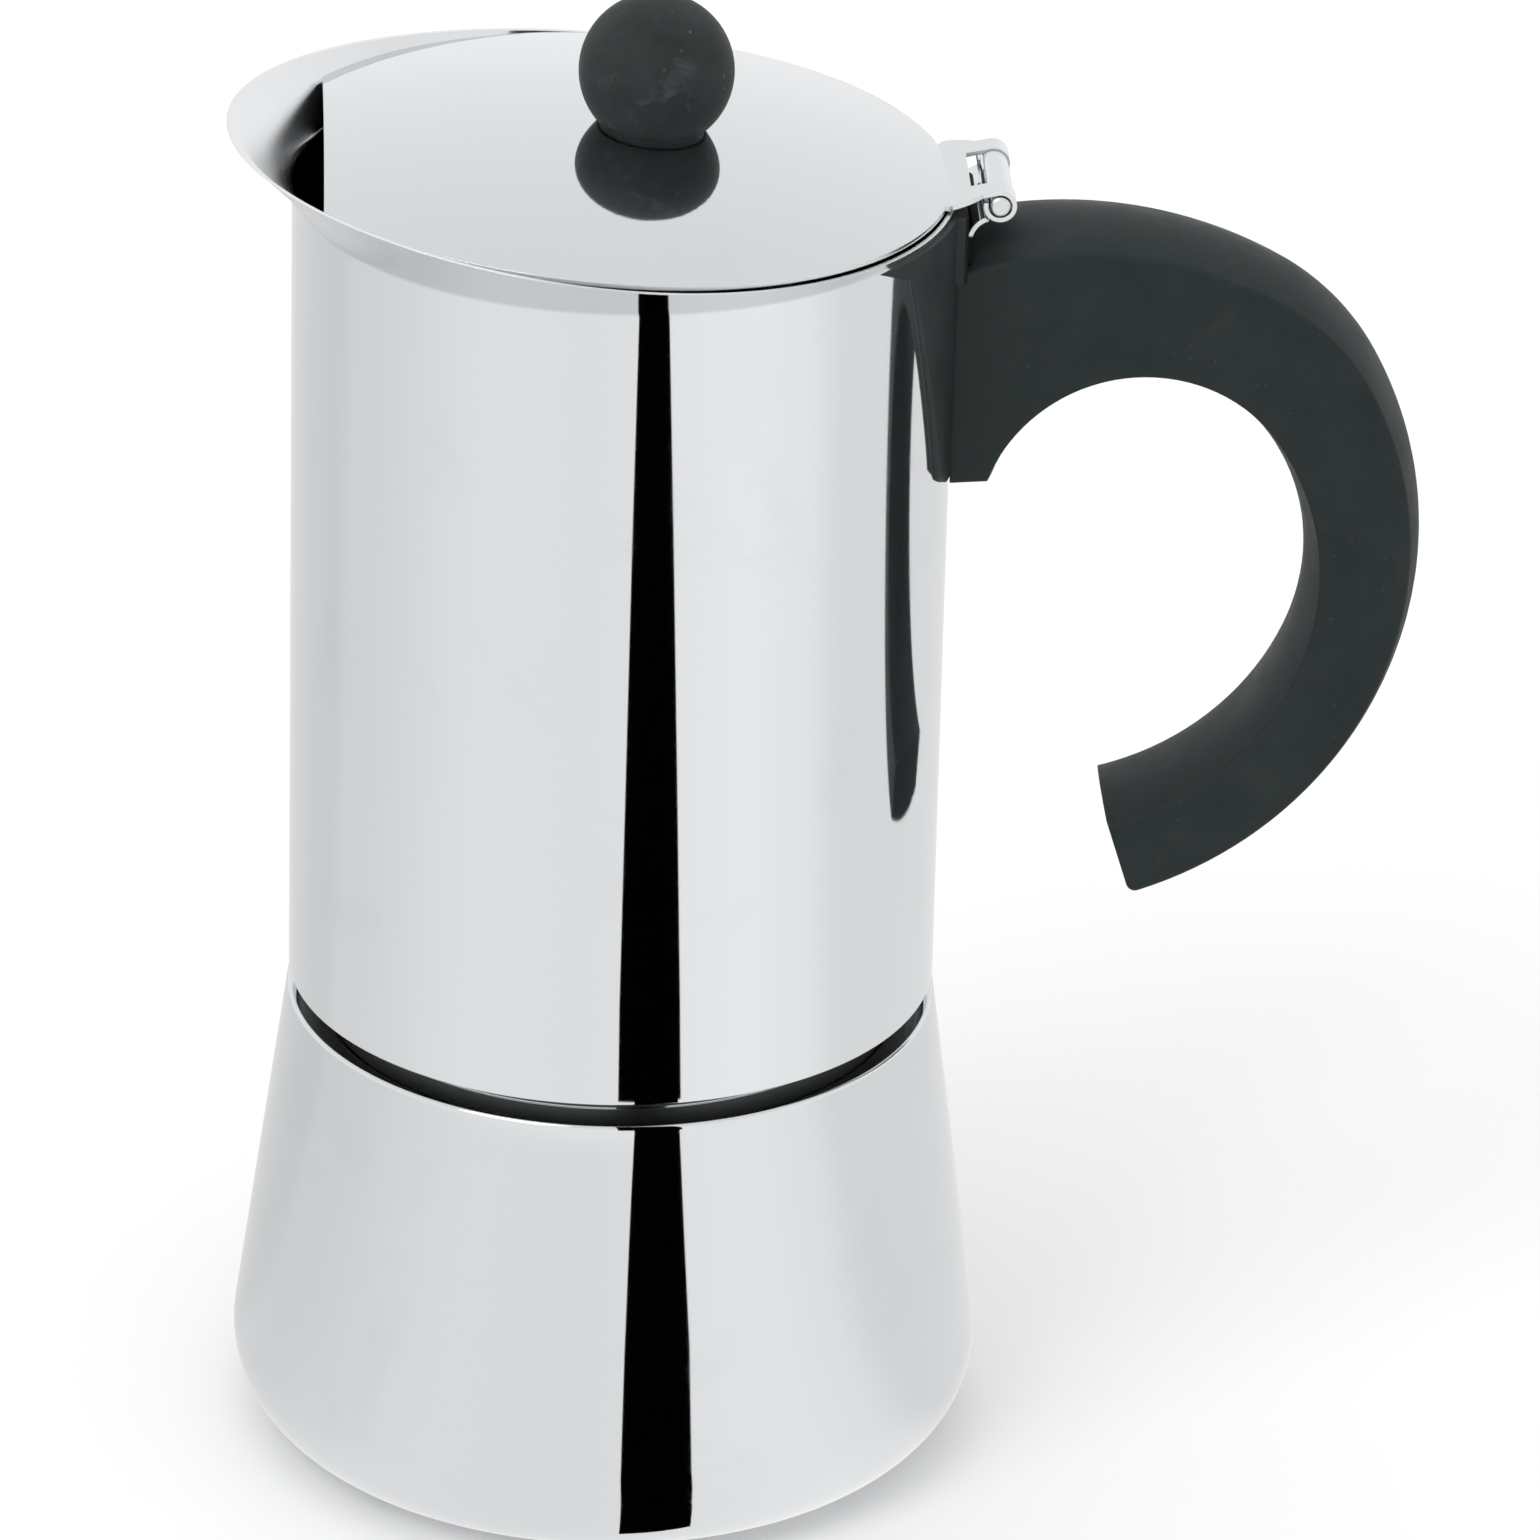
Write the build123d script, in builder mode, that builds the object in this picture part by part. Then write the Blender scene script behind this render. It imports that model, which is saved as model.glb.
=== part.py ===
import os
from math import asin, atan2, cos, degrees, radians, sin, sqrt

from build123d import *

# Stovetop coffee maker. Millimetres, +Z up, origin at the middle of the boiler's flat bottom.
# The handle is on +X, the pouring lip on -X, and the safety valve on +Y.

# Boiler
boiler_base_radius = 52.0  # where the cone's side would meet the bottom
boiler_shoulder_radius = 43.2
boiler_shoulder_height = 63.3
boiler_foot_fillet = 12.0
boiler_shoulder_fillet = 0.6
boiler_wall = 1.0
neck_radius = 38.0
neck_height = 15.5

# Vessel and its pouring lip
waist_gap = 3.1
vessel_radius = 43.0
vessel_wall = 0.6
vessel_height = 115.1  # to the rim on the pot's axis
rim_drop = 3.1  # how much lower the rim is at the handle
rim_lift = 5.1  # how much higher the rim is at the tip of the lip
lip_reach = 8.4
rim_flare = 2.7  # how far the rim would swell sideways at the height of the lip's tip
lip_depth = 8.6  # height over which the rim and the lip curve out
lip_curve = 1.25  # 1 flares straight out, 2 stays close to the wall for longer
lip_sections = 5

# Threaded collar, floor and coffee column
thread_clearance = 0.3
collar_wall = 1.5
collar_recess = 0.8
floor_thickness = 0.8
column_foot_radius = 12.0
column_radius = 7.0
column_wall = 0.8
column_height = 62.0
column_foot_height = 16.0
cap_wall = 0.8
cap_overlap = 8.0
cap_height = 14.0
cap_window_width = 5.0
cap_window_height = 3.0
cap_windows = 4

# Seal
gasket_thickness = 3.5
gasket_rim = 4.2
gasket_ledge = 3.3
gasket_lip_height = 2.0
filter_thickness = 0.6
filter_hole_radius = 0.8
filter_hole_pitch = 7.0
hole_margin = 1.0  # least sheet left outside the last ring of holes

# Funnel
funnel_wall = 0.6
funnel_clearance = 0.5
flange_thickness = 0.8
basket_depth = 22.0
funnel_cone_height = 7.0
spigot_height = 5.0
tube_radius = 5.0
tube_wall = 0.6
tube_floor_gap = 4.0
screen_thickness = 0.6
screen_hole_radius = 0.8
screen_hole_pitch = 7.0

# Safety valve
valve_height = 45.0
valve_shank_radius = 3.9
valve_hole_clearance = 0.1
valve_hex_radius = 6.0
valve_hex_length = 4.0
valve_shank_length = 7.5
valve_washer_radius = 6.6
valve_washer_thickness = 0.8
valve_nut_radius = 6.3
valve_nut_length = 2.5
valve_rod_radius = 1.0
valve_rod_clearance = 0.08
valve_head_radius = 2.4
valve_head_length = 1.5
valve_spring_length = 6.0
valve_spring_radius = 1.9
valve_spring_wire = 0.5
valve_spring_turns = 4
valve_retainer_radius = 2.8
valve_retainer_length = 0.8

# Handle, saddle and bracket
saddle_crest = 0.9  # thickness on the pot's plane of symmetry
saddle_radius_step = 2.0  # outer face rounder than the vessel, about an axis nearer to the handle
saddle_height = 37.4
saddle_rim_gap = 0.5
saddle_foot_lift = 1.1  # foot above the handle's root
saddle_foot_half_width = 14.6
saddle_foot_fillet = 4.0
saddle_neck_half_width = 23.9
saddle_neck_fillet = 1.2
saddle_wing_half_width = 29.3
saddle_wing_depth = 3.2
saddle_shelf_height = 9.1
handle_half_width = 9.25
root_half_width = 10.7
root_flare_length = 22.0
handle_edge_fillet = 0.7
handle_tip_fillet = 1.2
handle_outer_crown = 2.0
handle_inner_crown = 1.4
handle_top_radius = 55.4
handle_bend_radius = 30.2
handle_back_radius = 50.7
handle_top_centre_out = 14.8  # from the vessel's wall
handle_top_centre_up = -23.5  # from the saddle's bottom
handle_outer_angles = (107.0, 59.9, 29.2, -72.0)
grip_upper_radius = 21.3
grip_lower_radius = 36.0
grip_centre_out = 24.8
grip_centre_up = -6.7
grip_turn_angle = 34.9
grip_end_angle = -75.1
tongue_half_width = 5.0
tongue_thickness = 3.6
tongue_length = 16.0
tongue_up = 14.0
tongue_clearance = 0.2
bracket_pad_half_width = 8.0
bracket_pad_height = 15.0
bracket_pad_thickness = 0.8
handle_screw_radius = 2.0
handle_screw_head_radius = 3.6
handle_screw_head_height = 2.4
handle_screw_out = 5.8
handle_screw_seat_up = 9.8
screw_clearance = 0.25

# Lid and knob
lid_gap = 0.0
lid_thickness = 0.6
lid_rise = 4.7
lid_edge_lift = 0.45  # lid's top edge above the rim, on the pot's axis
lid_handle_lift = 1.08  # and at the handle, where its tab passes over the rim
lid_front_setback = 4.0  # straight front edge, inside the vessel's radius
lid_front_half_width = 22.8
knob_radius = 10.05
knob_base_drop = 7.0
knob_offset = 3.1
knob_washer_radius = 6.8
knob_washer_thickness = 0.5
knob_screw_radius = 2.0
knob_screw_head_radius = 3.8
knob_screw_head_height = 2.0
knob_screw_depth = 9.0

# Hinge
hinge_out = 5.0  # pin's axis from the vessel's wall
hinge_drop = 2.6  # pin's axis under the rim on the pot's axis
hinge_sheet = 0.6
pin_radius = 1.3
pin_clearance = 0.25
pin_proud = 0.3
knuckle_half_width = 9.05
middle_knuckle_half_width = 5.3
knuckle_gap = 0.3
curl_end_angle = 165.0
tab_half_width = 11.0
tab_bend_out = 0.8  # straight bend line, past the lid's edge beside the tab
tab_flare_length = 4.0
tab_slot_margin = 1.5
relief_radius = 0.6
leaf_bend_radius = 3.2
leaf_tail = 7.0
leaf_curl_sweep = 290.0

# Heights and places that follow
vessel_bottom = boiler_shoulder_height + waist_gap
vessel_inner_radius = vessel_radius - vessel_wall
rim_height = vessel_bottom + vessel_height
neck_top = boiler_shoulder_height + neck_height
neck_inner_radius = neck_radius - boiler_wall
flange_top = neck_top + flange_thickness
floor_underside = flange_top + gasket_thickness
floor_top = floor_underside + floor_thickness
collar_radius = neck_radius + thread_clearance
gasket_radius = collar_radius - thread_clearance
filter_radius = gasket_radius - gasket_rim
gasket_lip_radius = filter_radius - gasket_ledge
filter_underside = flange_top + gasket_lip_height
basket_radius = neck_inner_radius - funnel_clearance
basket_inner_radius = basket_radius - funnel_wall
basket_bottom = neck_top - basket_depth
spigot_top = basket_bottom - funnel_cone_height
spigot_radius = tube_radius + funnel_wall
column_top = floor_top + column_height
saddle_top = rim_height - rim_drop - saddle_rim_gap
saddle_bottom = saddle_top - saddle_height
saddle_shelf = saddle_top - saddle_shelf_height
saddle_radius = vessel_radius - saddle_radius_step
saddle_centre = saddle_crest + saddle_radius_step
saddle_face = vessel_radius + saddle_crest
leaf_face = saddle_face + hinge_sheet
tongue_height = saddle_bottom + tongue_up
root_crown = 1 - (root_half_width / handle_half_width) ** 2
handle_screw_x = saddle_face + handle_screw_out
handle_screw_seat = saddle_bottom + handle_screw_seat_up
handle_screw_top = tongue_height + tongue_thickness / 2
leaf_bottom = tongue_height - leaf_tail
lip_length = vessel_radius + lip_reach
lid_tilt = degrees(atan2(rim_drop + lid_edge_lift - lid_handle_lift, vessel_radius))
lid_radius = vessel_inner_radius - lid_gap
lid_dome_radius = (lid_radius**2 + lid_rise**2) / (2 * lid_rise)
lid_front = vessel_radius - lid_front_setback
lid_length = lid_front / sqrt(1 - (lid_front_half_width / lid_radius) ** 2)
pin_x = vessel_radius + hinge_out
pin_z = rim_height - hinge_drop
knuckle_inner_radius = pin_radius + pin_clearance
knuckle_radius = knuckle_inner_radius + hinge_sheet
curl_radius = knuckle_inner_radius + hinge_sheet / 2
leaf_curl_radius = pin_radius + hinge_sheet / 2

os.makedirs("parts", exist_ok=True)


def save(builder, name):
    builder.part.label = name
    export_step(builder.part, f"parts/{name}.step")


def polar(centre, radius, angle):
    return Vector(centre) + Vector(radius * cos(radians(angle)), radius * sin(radians(angle)))


# Boiler: one section, set in by the wall for the inside
cone_lean = (boiler_base_radius - boiler_shoulder_radius) / boiler_shoulder_height
cone_slant = sqrt(1 + cone_lean**2)


def boiler_outline(inset):
    roof = boiler_shoulder_height - inset
    base = boiler_base_radius - inset * cone_slant
    neck = neck_radius - inset
    FilletPolyline(
        (0, inset),
        (base - cone_lean * inset, inset),
        (base - cone_lean * roof, roof),
        (neck, roof),
        (neck, neck_top),
        (0, neck_top),
        radius=[0, boiler_foot_fillet - inset, boiler_shoulder_fillet, 0, 0, 0],
        close=True,
    )


wall_radius = boiler_base_radius - cone_lean * valve_height
valve_plane = Plane(
    origin=(0, wall_radius, valve_height), x_dir=(1, 0, 0), z_dir=(0, 1, cone_lean)
)

with BuildPart() as boiler_shell:
    with BuildSketch(Plane.XZ):
        with BuildLine():
            boiler_outline(0)
        make_face()
        with BuildLine():
            boiler_outline(boiler_wall)
        make_face(mode=Mode.SUBTRACT)
    revolve(axis=Axis.Z)
    with BuildSketch(valve_plane.offset(boiler_foot_fillet)):
        Circle(valve_shank_radius + valve_hole_clearance)
    extrude(amount=-2 * boiler_foot_fillet, mode=Mode.SUBTRACT)
save(boiler_shell, "boiler_shell")

# Safety valve, along the normal of the boiler's wall
nut_sag = valve_nut_radius**2 / (2 * cone_slant * (wall_radius - cone_slant * boiler_wall))
nut_seat = -(boiler_wall + nut_sag)
hex_seat = valve_washer_thickness
hex_face = hex_seat + valve_hex_length
shank_end = hex_seat - valve_shank_length
retainer_seat = shank_end - valve_spring_length

with BuildPart() as valve_washer:
    with BuildSketch(valve_plane.offset(hex_seat)):
        Circle(valve_washer_radius)
        Circle(valve_shank_radius + valve_hole_clearance, mode=Mode.SUBTRACT)
    extrude(amount=-valve_washer_thickness - nut_sag - boiler_wall)
    with BuildSketch(Plane.XZ):
        with BuildLine():
            boiler_outline(0)
        make_face()
    revolve(axis=Axis.Z, mode=Mode.SUBTRACT)
save(valve_washer, "valve_washer")

with BuildPart() as valve_body:
    with BuildSketch(valve_plane.offset(hex_seat)):
        RegularPolygon(valve_hex_radius, 6)
    extrude(amount=valve_hex_length)
    with BuildSketch(valve_plane.offset(hex_seat)):
        Circle(valve_shank_radius)
    extrude(amount=-valve_shank_length)
    with BuildSketch(valve_plane.offset(hex_face)):
        Circle(valve_rod_radius + valve_rod_clearance)
    extrude(amount=-valve_hex_length - valve_shank_length, mode=Mode.SUBTRACT)
save(valve_body, "valve_body")

with BuildPart() as valve_nut:
    with BuildSketch(valve_plane.offset(nut_seat)):
        RegularPolygon(valve_nut_radius, 6)
        Circle(valve_shank_radius, mode=Mode.SUBTRACT)
    extrude(amount=-valve_nut_length)
save(valve_nut, "valve_nut")

with BuildPart() as valve_pin:
    with BuildSketch(valve_plane.offset(hex_face)):
        Circle(valve_head_radius)
    extrude(amount=valve_head_length)
    with BuildSketch(valve_plane.offset(hex_face)):
        Circle(valve_rod_radius)
    extrude(amount=retainer_seat - valve_retainer_length - hex_face)
save(valve_pin, "valve_pin")

with BuildPart() as valve_retainer:
    with BuildSketch(valve_plane.offset(retainer_seat)):
        Circle(valve_retainer_radius)
        Circle(valve_rod_radius, mode=Mode.SUBTRACT)
    extrude(amount=-valve_retainer_length)
save(valve_retainer, "valve_retainer")

# Compression spring: half turns, each a tilted half circle that runs on from the last
spring_plane = valve_plane.offset(retainer_seat + valve_spring_wire / 2)
spring_rise = (valve_spring_length - valve_spring_wire) / (2 * valve_spring_turns)

with BuildPart() as valve_spring:
    with BuildLine(spring_plane) as coil:
        for half_turn in range(2 * valve_spring_turns):
            side = 1 if half_turn % 2 == 0 else -1
            low = half_turn * spring_rise
            ThreePointArc(
                (side * valve_spring_radius, 0, low),
                (0, side * valve_spring_radius, low + spring_rise / 2),
                (-side * valve_spring_radius, 0, low + spring_rise),
            )
    with BuildSketch(Plane(coil.line @ 0, z_dir=coil.line % 0)):
        Rectangle(valve_spring_wire, valve_spring_wire)
    sweep(path=coil.line)
save(valve_spring, "valve_spring")

# Least gap between turns, over points of the coil at least half a turn apart
coil_steps = 24
coil_points = [
    coil.line @ (step / (valve_spring_turns * coil_steps))
    for step in range(valve_spring_turns * coil_steps + 1)
]
coil_gap = min(
    (point - other).length
    for step, point in enumerate(coil_points)
    for other in coil_points[step + coil_steps // 2 :]
)
print(f"valve_spring least gap to itself {coil_gap - valve_spring_wire * sqrt(2):.2f} mm")

# Funnel: flanged basket, cone and spigot in one spinning, with a screen and a tube
with BuildPart() as funnel_basket:
    with BuildSketch(Plane.XZ):
        with BuildLine():
            Polyline(
                (basket_inner_radius, flange_top),
                (neck_radius - funnel_wall / 2, flange_top),
                (neck_radius - funnel_wall / 2, neck_top),
                (basket_radius, neck_top),
                (basket_radius, basket_bottom),
                (spigot_radius, spigot_top),
                (spigot_radius, spigot_top - spigot_height),
                (tube_radius, spigot_top - spigot_height),
                (tube_radius, spigot_top + funnel_wall),
                (basket_inner_radius, basket_bottom + funnel_wall),
                close=True,
            )
        make_face()
    revolve(axis=Axis.Z)
save(funnel_basket, "funnel_basket")

with BuildPart() as funnel_tube:
    with BuildSketch(Plane.XY.offset(boiler_wall + tube_floor_gap)):
        Circle(tube_radius)
        Circle(tube_radius - tube_wall, mode=Mode.SUBTRACT)
    extrude(amount=spigot_top - boiler_wall - tube_floor_gap)
save(funnel_tube, "funnel_tube")


def perforations(room, pitch, hole_radius):
    rings = int((room - hole_margin - hole_radius) / pitch)
    RegularPolygon(hole_radius, 6, mode=Mode.SUBTRACT)
    for ring in range(1, rings + 1):
        with PolarLocations(ring * pitch, 6 * ring):
            RegularPolygon(hole_radius, 6, mode=Mode.SUBTRACT)


with BuildPart() as funnel_screen:
    with BuildSketch(Plane.XY.offset(basket_bottom + funnel_wall)):
        Circle(basket_inner_radius)
        perforations(basket_inner_radius, screen_hole_pitch, screen_hole_radius)
    extrude(amount=screen_thickness)
save(funnel_screen, "funnel_screen")

# Seal: gasket with a lip that carries the filter plate
with BuildPart() as gasket:
    with BuildSketch(Plane.XY.offset(flange_top)):
        Circle(gasket_radius)
        Circle(gasket_lip_radius, mode=Mode.SUBTRACT)
    extrude(amount=gasket_thickness)
    with BuildSketch(Plane.XY.offset(filter_underside)):
        Circle(filter_radius)
    extrude(amount=gasket_thickness, mode=Mode.SUBTRACT)
save(gasket, "gasket")

with BuildPart() as filter_plate:
    with BuildSketch(Plane.XY.offset(filter_underside)):
        Circle(filter_radius)
        perforations(gasket_lip_radius, filter_hole_pitch, filter_hole_radius)
    extrude(amount=filter_thickness)
save(filter_plate, "filter_plate")

# Vessel: straight wall, lip lofted out on the spout side, rim cut along one long arc
def lip_outline(inset, share):
    half = vessel_radius - inset
    swell = share**lip_curve
    side, reach = half + rim_flare * swell, half + lip_reach * swell
    EllipticalCenterArc((0, 0), half, side, start_angle=-90, arc_size=180)
    EllipticalCenterArc((0, 0), reach, side, start_angle=90, arc_size=180)


def rim_cut_line():
    rim_arc = ThreePointArc(
        (vessel_radius, rim_height - rim_drop), (0, rim_height), (-lip_length, rim_height + rim_lift)
    )
    margin = lip_depth
    front, back = rim_arc @ 1, rim_arc @ 0
    Polyline(
        front,
        (front.X - margin, front.Y),
        (front.X - margin, front.Y + margin),
        (back.X + margin, front.Y + margin),
        (back.X + margin, back.Y),
        back,
    )


lip_top = rim_height + rim_lift
lip_bottom = lip_top - lip_depth

with BuildPart() as vessel_shell:
    with BuildSketch(Plane.XY.offset(vessel_bottom)):
        Circle(vessel_radius)
    extrude(amount=lip_bottom - vessel_bottom)
    for step in range(lip_sections):
        share = step / (lip_sections - 1)
        with BuildSketch(Plane.XY.offset(lip_bottom + share * lip_depth)):
            with BuildLine():
                lip_outline(0, share)
            make_face()
    loft()
    with BuildSketch(Plane.XY.offset(vessel_bottom)):
        Circle(vessel_inner_radius)
    extrude(amount=lip_bottom - vessel_bottom, mode=Mode.SUBTRACT)
    for step in range(lip_sections):
        share = step / (lip_sections - 1)
        with BuildSketch(Plane.XY.offset(lip_bottom + share * lip_depth)):
            with BuildLine():
                lip_outline(vessel_wall, share)
            make_face()
    loft(mode=Mode.SUBTRACT)
    with BuildSketch(Plane.XZ):
        with BuildLine():
            rim_cut_line()
        make_face()
    extrude(amount=lip_length, both=True, mode=Mode.SUBTRACT)
save(vessel_shell, "vessel_shell")

with BuildPart() as threaded_collar:
    with BuildSketch(Plane.XZ):
        with BuildLine():
            skirt = vessel_bottom + collar_recess
            Polyline(
                (collar_radius, skirt),
                (vessel_inner_radius, skirt),
                (vessel_inner_radius, skirt + collar_wall),
                (collar_radius + collar_wall, skirt + collar_wall),
                (collar_radius + collar_wall, floor_underside),
                (collar_radius, floor_underside),
                close=True,
            )
        make_face()
    revolve(axis=Axis.Z)
save(threaded_collar, "threaded_collar")

with BuildPart() as vessel_floor:
    with BuildSketch(Plane.XY.offset(floor_underside)):
        Circle(vessel_inner_radius)
        Circle(column_foot_radius, mode=Mode.SUBTRACT)
    extrude(amount=floor_thickness)
save(vessel_floor, "vessel_floor")

with BuildPart() as coffee_column:
    with BuildSketch(Plane.XZ):
        with BuildLine():
            foot = floor_top + column_foot_height
            Polyline(
                (column_foot_radius, floor_underside),
                (column_foot_radius, floor_top),
                (column_radius, foot),
                (column_radius, column_top),
                (column_radius - column_wall, column_top),
                (column_radius - column_wall, foot),
                (column_foot_radius - column_wall, floor_top),
                (column_foot_radius - column_wall, floor_underside),
                close=True,
            )
        make_face()
    revolve(axis=Axis.Z)
save(coffee_column, "coffee_column")

with BuildPart() as column_cap:
    cap_bottom = column_top - cap_overlap
    cap_top = cap_bottom + cap_height
    with BuildSketch(Plane.XY.offset(cap_bottom)):
        Circle(column_radius + cap_wall)
    extrude(amount=cap_height)
    fillet(column_cap.faces().sort_by(Axis.Z)[-1].edges(), cap_wall)
    with BuildSketch(Plane.XY.offset(cap_bottom)):
        Circle(column_radius)
    extrude(amount=cap_height - cap_wall, mode=Mode.SUBTRACT)
    window_height = (column_top + cap_top - cap_wall) / 2
    for turn in range(cap_windows // 2):
        with BuildSketch(Plane.XZ.rotated((0, 0, turn * 360 / cap_windows))):
            with Locations((0, window_height)):
                Rectangle(cap_window_width, cap_window_height)
        extrude(amount=2 * column_radius, both=True, mode=Mode.SUBTRACT)
save(column_cap, "column_cap")

# Handle bracket: pad welded on the vessel, with a tongue into the handle's root
with BuildPart() as handle_bracket:
    with BuildSketch(Plane.XY.offset(tongue_height - bracket_pad_height / 2)):
        Circle(vessel_radius + bracket_pad_thickness)
        Circle(vessel_radius, mode=Mode.SUBTRACT)
        with Locations((vessel_radius, 0)):
            Rectangle(vessel_radius, 2 * bracket_pad_half_width, mode=Mode.INTERSECT)
    extrude(amount=bracket_pad_height)
    with BuildSketch(Plane.XY.offset(tongue_height - tongue_thickness / 2)):
        with Locations((vessel_radius, 0)):
            Rectangle(
                tongue_length, 2 * tongue_half_width, align=(Align.MIN, Align.CENTER)
            )
        with Locations((handle_screw_x, 0)):
            Circle(handle_screw_radius, mode=Mode.SUBTRACT)
    extrude(amount=tongue_thickness)
save(handle_bracket, "handle_bracket")

# Saddle: crescent over the vessel's wall, cut to its outline, with a flat seat for the hinge leaf
with BuildPart() as handle_saddle:
    with BuildSketch(Plane.XY.offset(saddle_bottom)):
        with Locations((saddle_centre, 0)):
            Circle(saddle_radius)
    extrude(amount=saddle_top - saddle_bottom)
    with BuildSketch(Plane.YZ):
        with BuildLine():
            saddle_neck = saddle_top - saddle_wing_depth
            saddle_foot = saddle_bottom + saddle_foot_lift
            side_fillets = (saddle_neck_fillet, saddle_foot_fillet)
            FilletPolyline(
                (-saddle_wing_half_width, saddle_top),
                (-saddle_neck_half_width, saddle_neck),
                (-saddle_foot_half_width, saddle_foot),
                (saddle_foot_half_width, saddle_foot),
                (saddle_neck_half_width, saddle_neck),
                (saddle_wing_half_width, saddle_top),
                radius=[0, *side_fillets, *reversed(side_fillets), 0],
                close=True,
            )
        make_face()
    extrude(amount=2 * vessel_radius, mode=Mode.INTERSECT)
    with BuildSketch(Plane.XY.offset(saddle_shelf)):
        with Locations((saddle_face, 0)):
            Rectangle(vessel_radius, 2 * root_half_width, align=(Align.MAX, Align.CENTER))
    extrude(amount=saddle_top - saddle_shelf)
    with BuildSketch(Plane.XY.offset(saddle_bottom)):
        Circle(vessel_radius)
    extrude(amount=saddle_top - saddle_bottom, mode=Mode.SUBTRACT)
    with BuildSketch(Plane.YZ.offset(vessel_radius / 2)):
        with Locations((0, tongue_height)):
            Rectangle(
                2 * (bracket_pad_half_width + tongue_clearance),
                bracket_pad_height + 2 * tongue_clearance,
            )
    extrude(amount=vessel_radius, mode=Mode.SUBTRACT)
save(handle_saddle, "handle_saddle")

# Handle: crowned C, lofted through a fuller middle section, its sides trimmed to a flared plan
# Draws arcs that run on smoothly from one another, and gives the first and last points
def arc_chain(centre, radii, angles):
    centre = Vector(centre)
    first = polar(centre, radii[0], angles[0])
    for index, radius in enumerate(radii):
        start, end = angles[index], angles[index + 1]
        CenterArc(centre, radius, start, end - start)
        last = polar(centre, radius, end)
        if index + 1 < len(radii):
            centre = polar(centre, radius - radii[index + 1], end)
    return first, last


def handle_section(outer_crown, inner_crown):
    outer_radii = [
        radius + outer_crown
        for radius in (handle_top_radius, handle_bend_radius, handle_back_radius)
    ]
    outer_centre = (vessel_radius + handle_top_centre_out, saddle_bottom + handle_top_centre_up)
    grip_radii = [radius - inner_crown for radius in (grip_upper_radius, grip_lower_radius)]
    grip_start = 180 - degrees(asin(-grip_centre_up / grip_radii[0]))
    grip_centre = (vessel_radius + grip_centre_out, saddle_bottom + grip_centre_up)
    top, tip = arc_chain(outer_centre, outer_radii, handle_outer_angles)
    heel, inner_tip = arc_chain(
        grip_centre, grip_radii, (grip_start, grip_turn_angle, grip_end_angle)
    )
    Line(tip, inner_tip)
    Polyline(heel, (top.X, heel.Y), top)


with BuildPart() as handle:
    for side, crown in ((-1, root_crown), (0, 1), (1, root_crown)):
        with BuildSketch(Plane.XZ.offset(side * root_half_width)):
            with BuildLine():
                handle_section(crown * handle_outer_crown, crown * handle_inner_crown)
            make_face()
    loft()
    with BuildSketch():
        with BuildLine():
            flare_end = vessel_radius + root_flare_length
            beyond = vessel_radius + 2 * handle_top_radius
            side_line = Polyline((beyond, 0), (beyond, handle_half_width), (flare_end, handle_half_width))
            flare = TangentArc(
                (flare_end, handle_half_width), (vessel_radius, root_half_width), tangent=(-1, 0)
            )
            inner_line = Polyline(flare @ 1, (vessel_radius / 2, root_half_width), (vessel_radius / 2, 0))
            mirror(side_line, about=Plane.XZ)
            mirror(flare, about=Plane.XZ)
            mirror(inner_line, about=Plane.XZ)
        make_face()
    extrude(amount=rim_height, mode=Mode.INTERSECT)
    cross_edges = handle.edges().filter_by(lambda edge: edge.bounding_box().size.Y > handle_half_width)
    fillet(cross_edges.sort_by(Axis.Z)[0], handle_tip_fillet)
    long_edges = [
        edge
        for edge in handle.edges()
        if edge.bounding_box().size.Y < handle_half_width
        and edge.geom_type != GeomType.LINE
        and edge.center().X > saddle_face
    ]
    fillet(long_edges, handle_edge_fillet)
    with BuildSketch(Plane.XY.offset(saddle_bottom)):
        with Locations((saddle_centre, 0)):
            Circle(saddle_radius)
    extrude(amount=rim_height - saddle_bottom, mode=Mode.SUBTRACT)
    with BuildSketch(Plane.XY.offset(saddle_shelf)):
        with Locations((saddle_face, 0)):
            Rectangle(vessel_radius, 4 * handle_half_width, align=(Align.MAX, Align.CENTER))
    extrude(amount=saddle_top, mode=Mode.SUBTRACT)
    with BuildSketch(Plane.XY.offset(leaf_bottom)):
        with Locations((saddle_centre, 0)):
            Rectangle(
                leaf_face - saddle_centre,
                2 * (knuckle_half_width + tongue_clearance),
                align=(Align.MIN, Align.CENTER),
            )
    extrude(amount=rim_height - leaf_bottom, mode=Mode.SUBTRACT)
    with BuildSketch(Plane.XY.offset(tongue_height - tongue_thickness / 2)):
        with Locations((vessel_radius, 0)):
            Rectangle(
                tongue_length + tongue_clearance,
                2 * (tongue_half_width + tongue_clearance),
                align=(Align.MIN, Align.CENTER),
            )
    extrude(amount=tongue_thickness, mode=Mode.SUBTRACT)
    with BuildSketch(Plane.XY.offset(saddle_bottom)):
        with Locations((handle_screw_x, 0)):
            Circle(handle_screw_head_radius + screw_clearance)
    extrude(amount=handle_screw_seat_up, mode=Mode.SUBTRACT)
    with BuildSketch(Plane.XY.offset(saddle_bottom)):
        with Locations((handle_screw_x, 0)):
            Circle(handle_screw_radius + screw_clearance)
    extrude(amount=tongue_up, mode=Mode.SUBTRACT)
save(handle, "handle")

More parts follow.
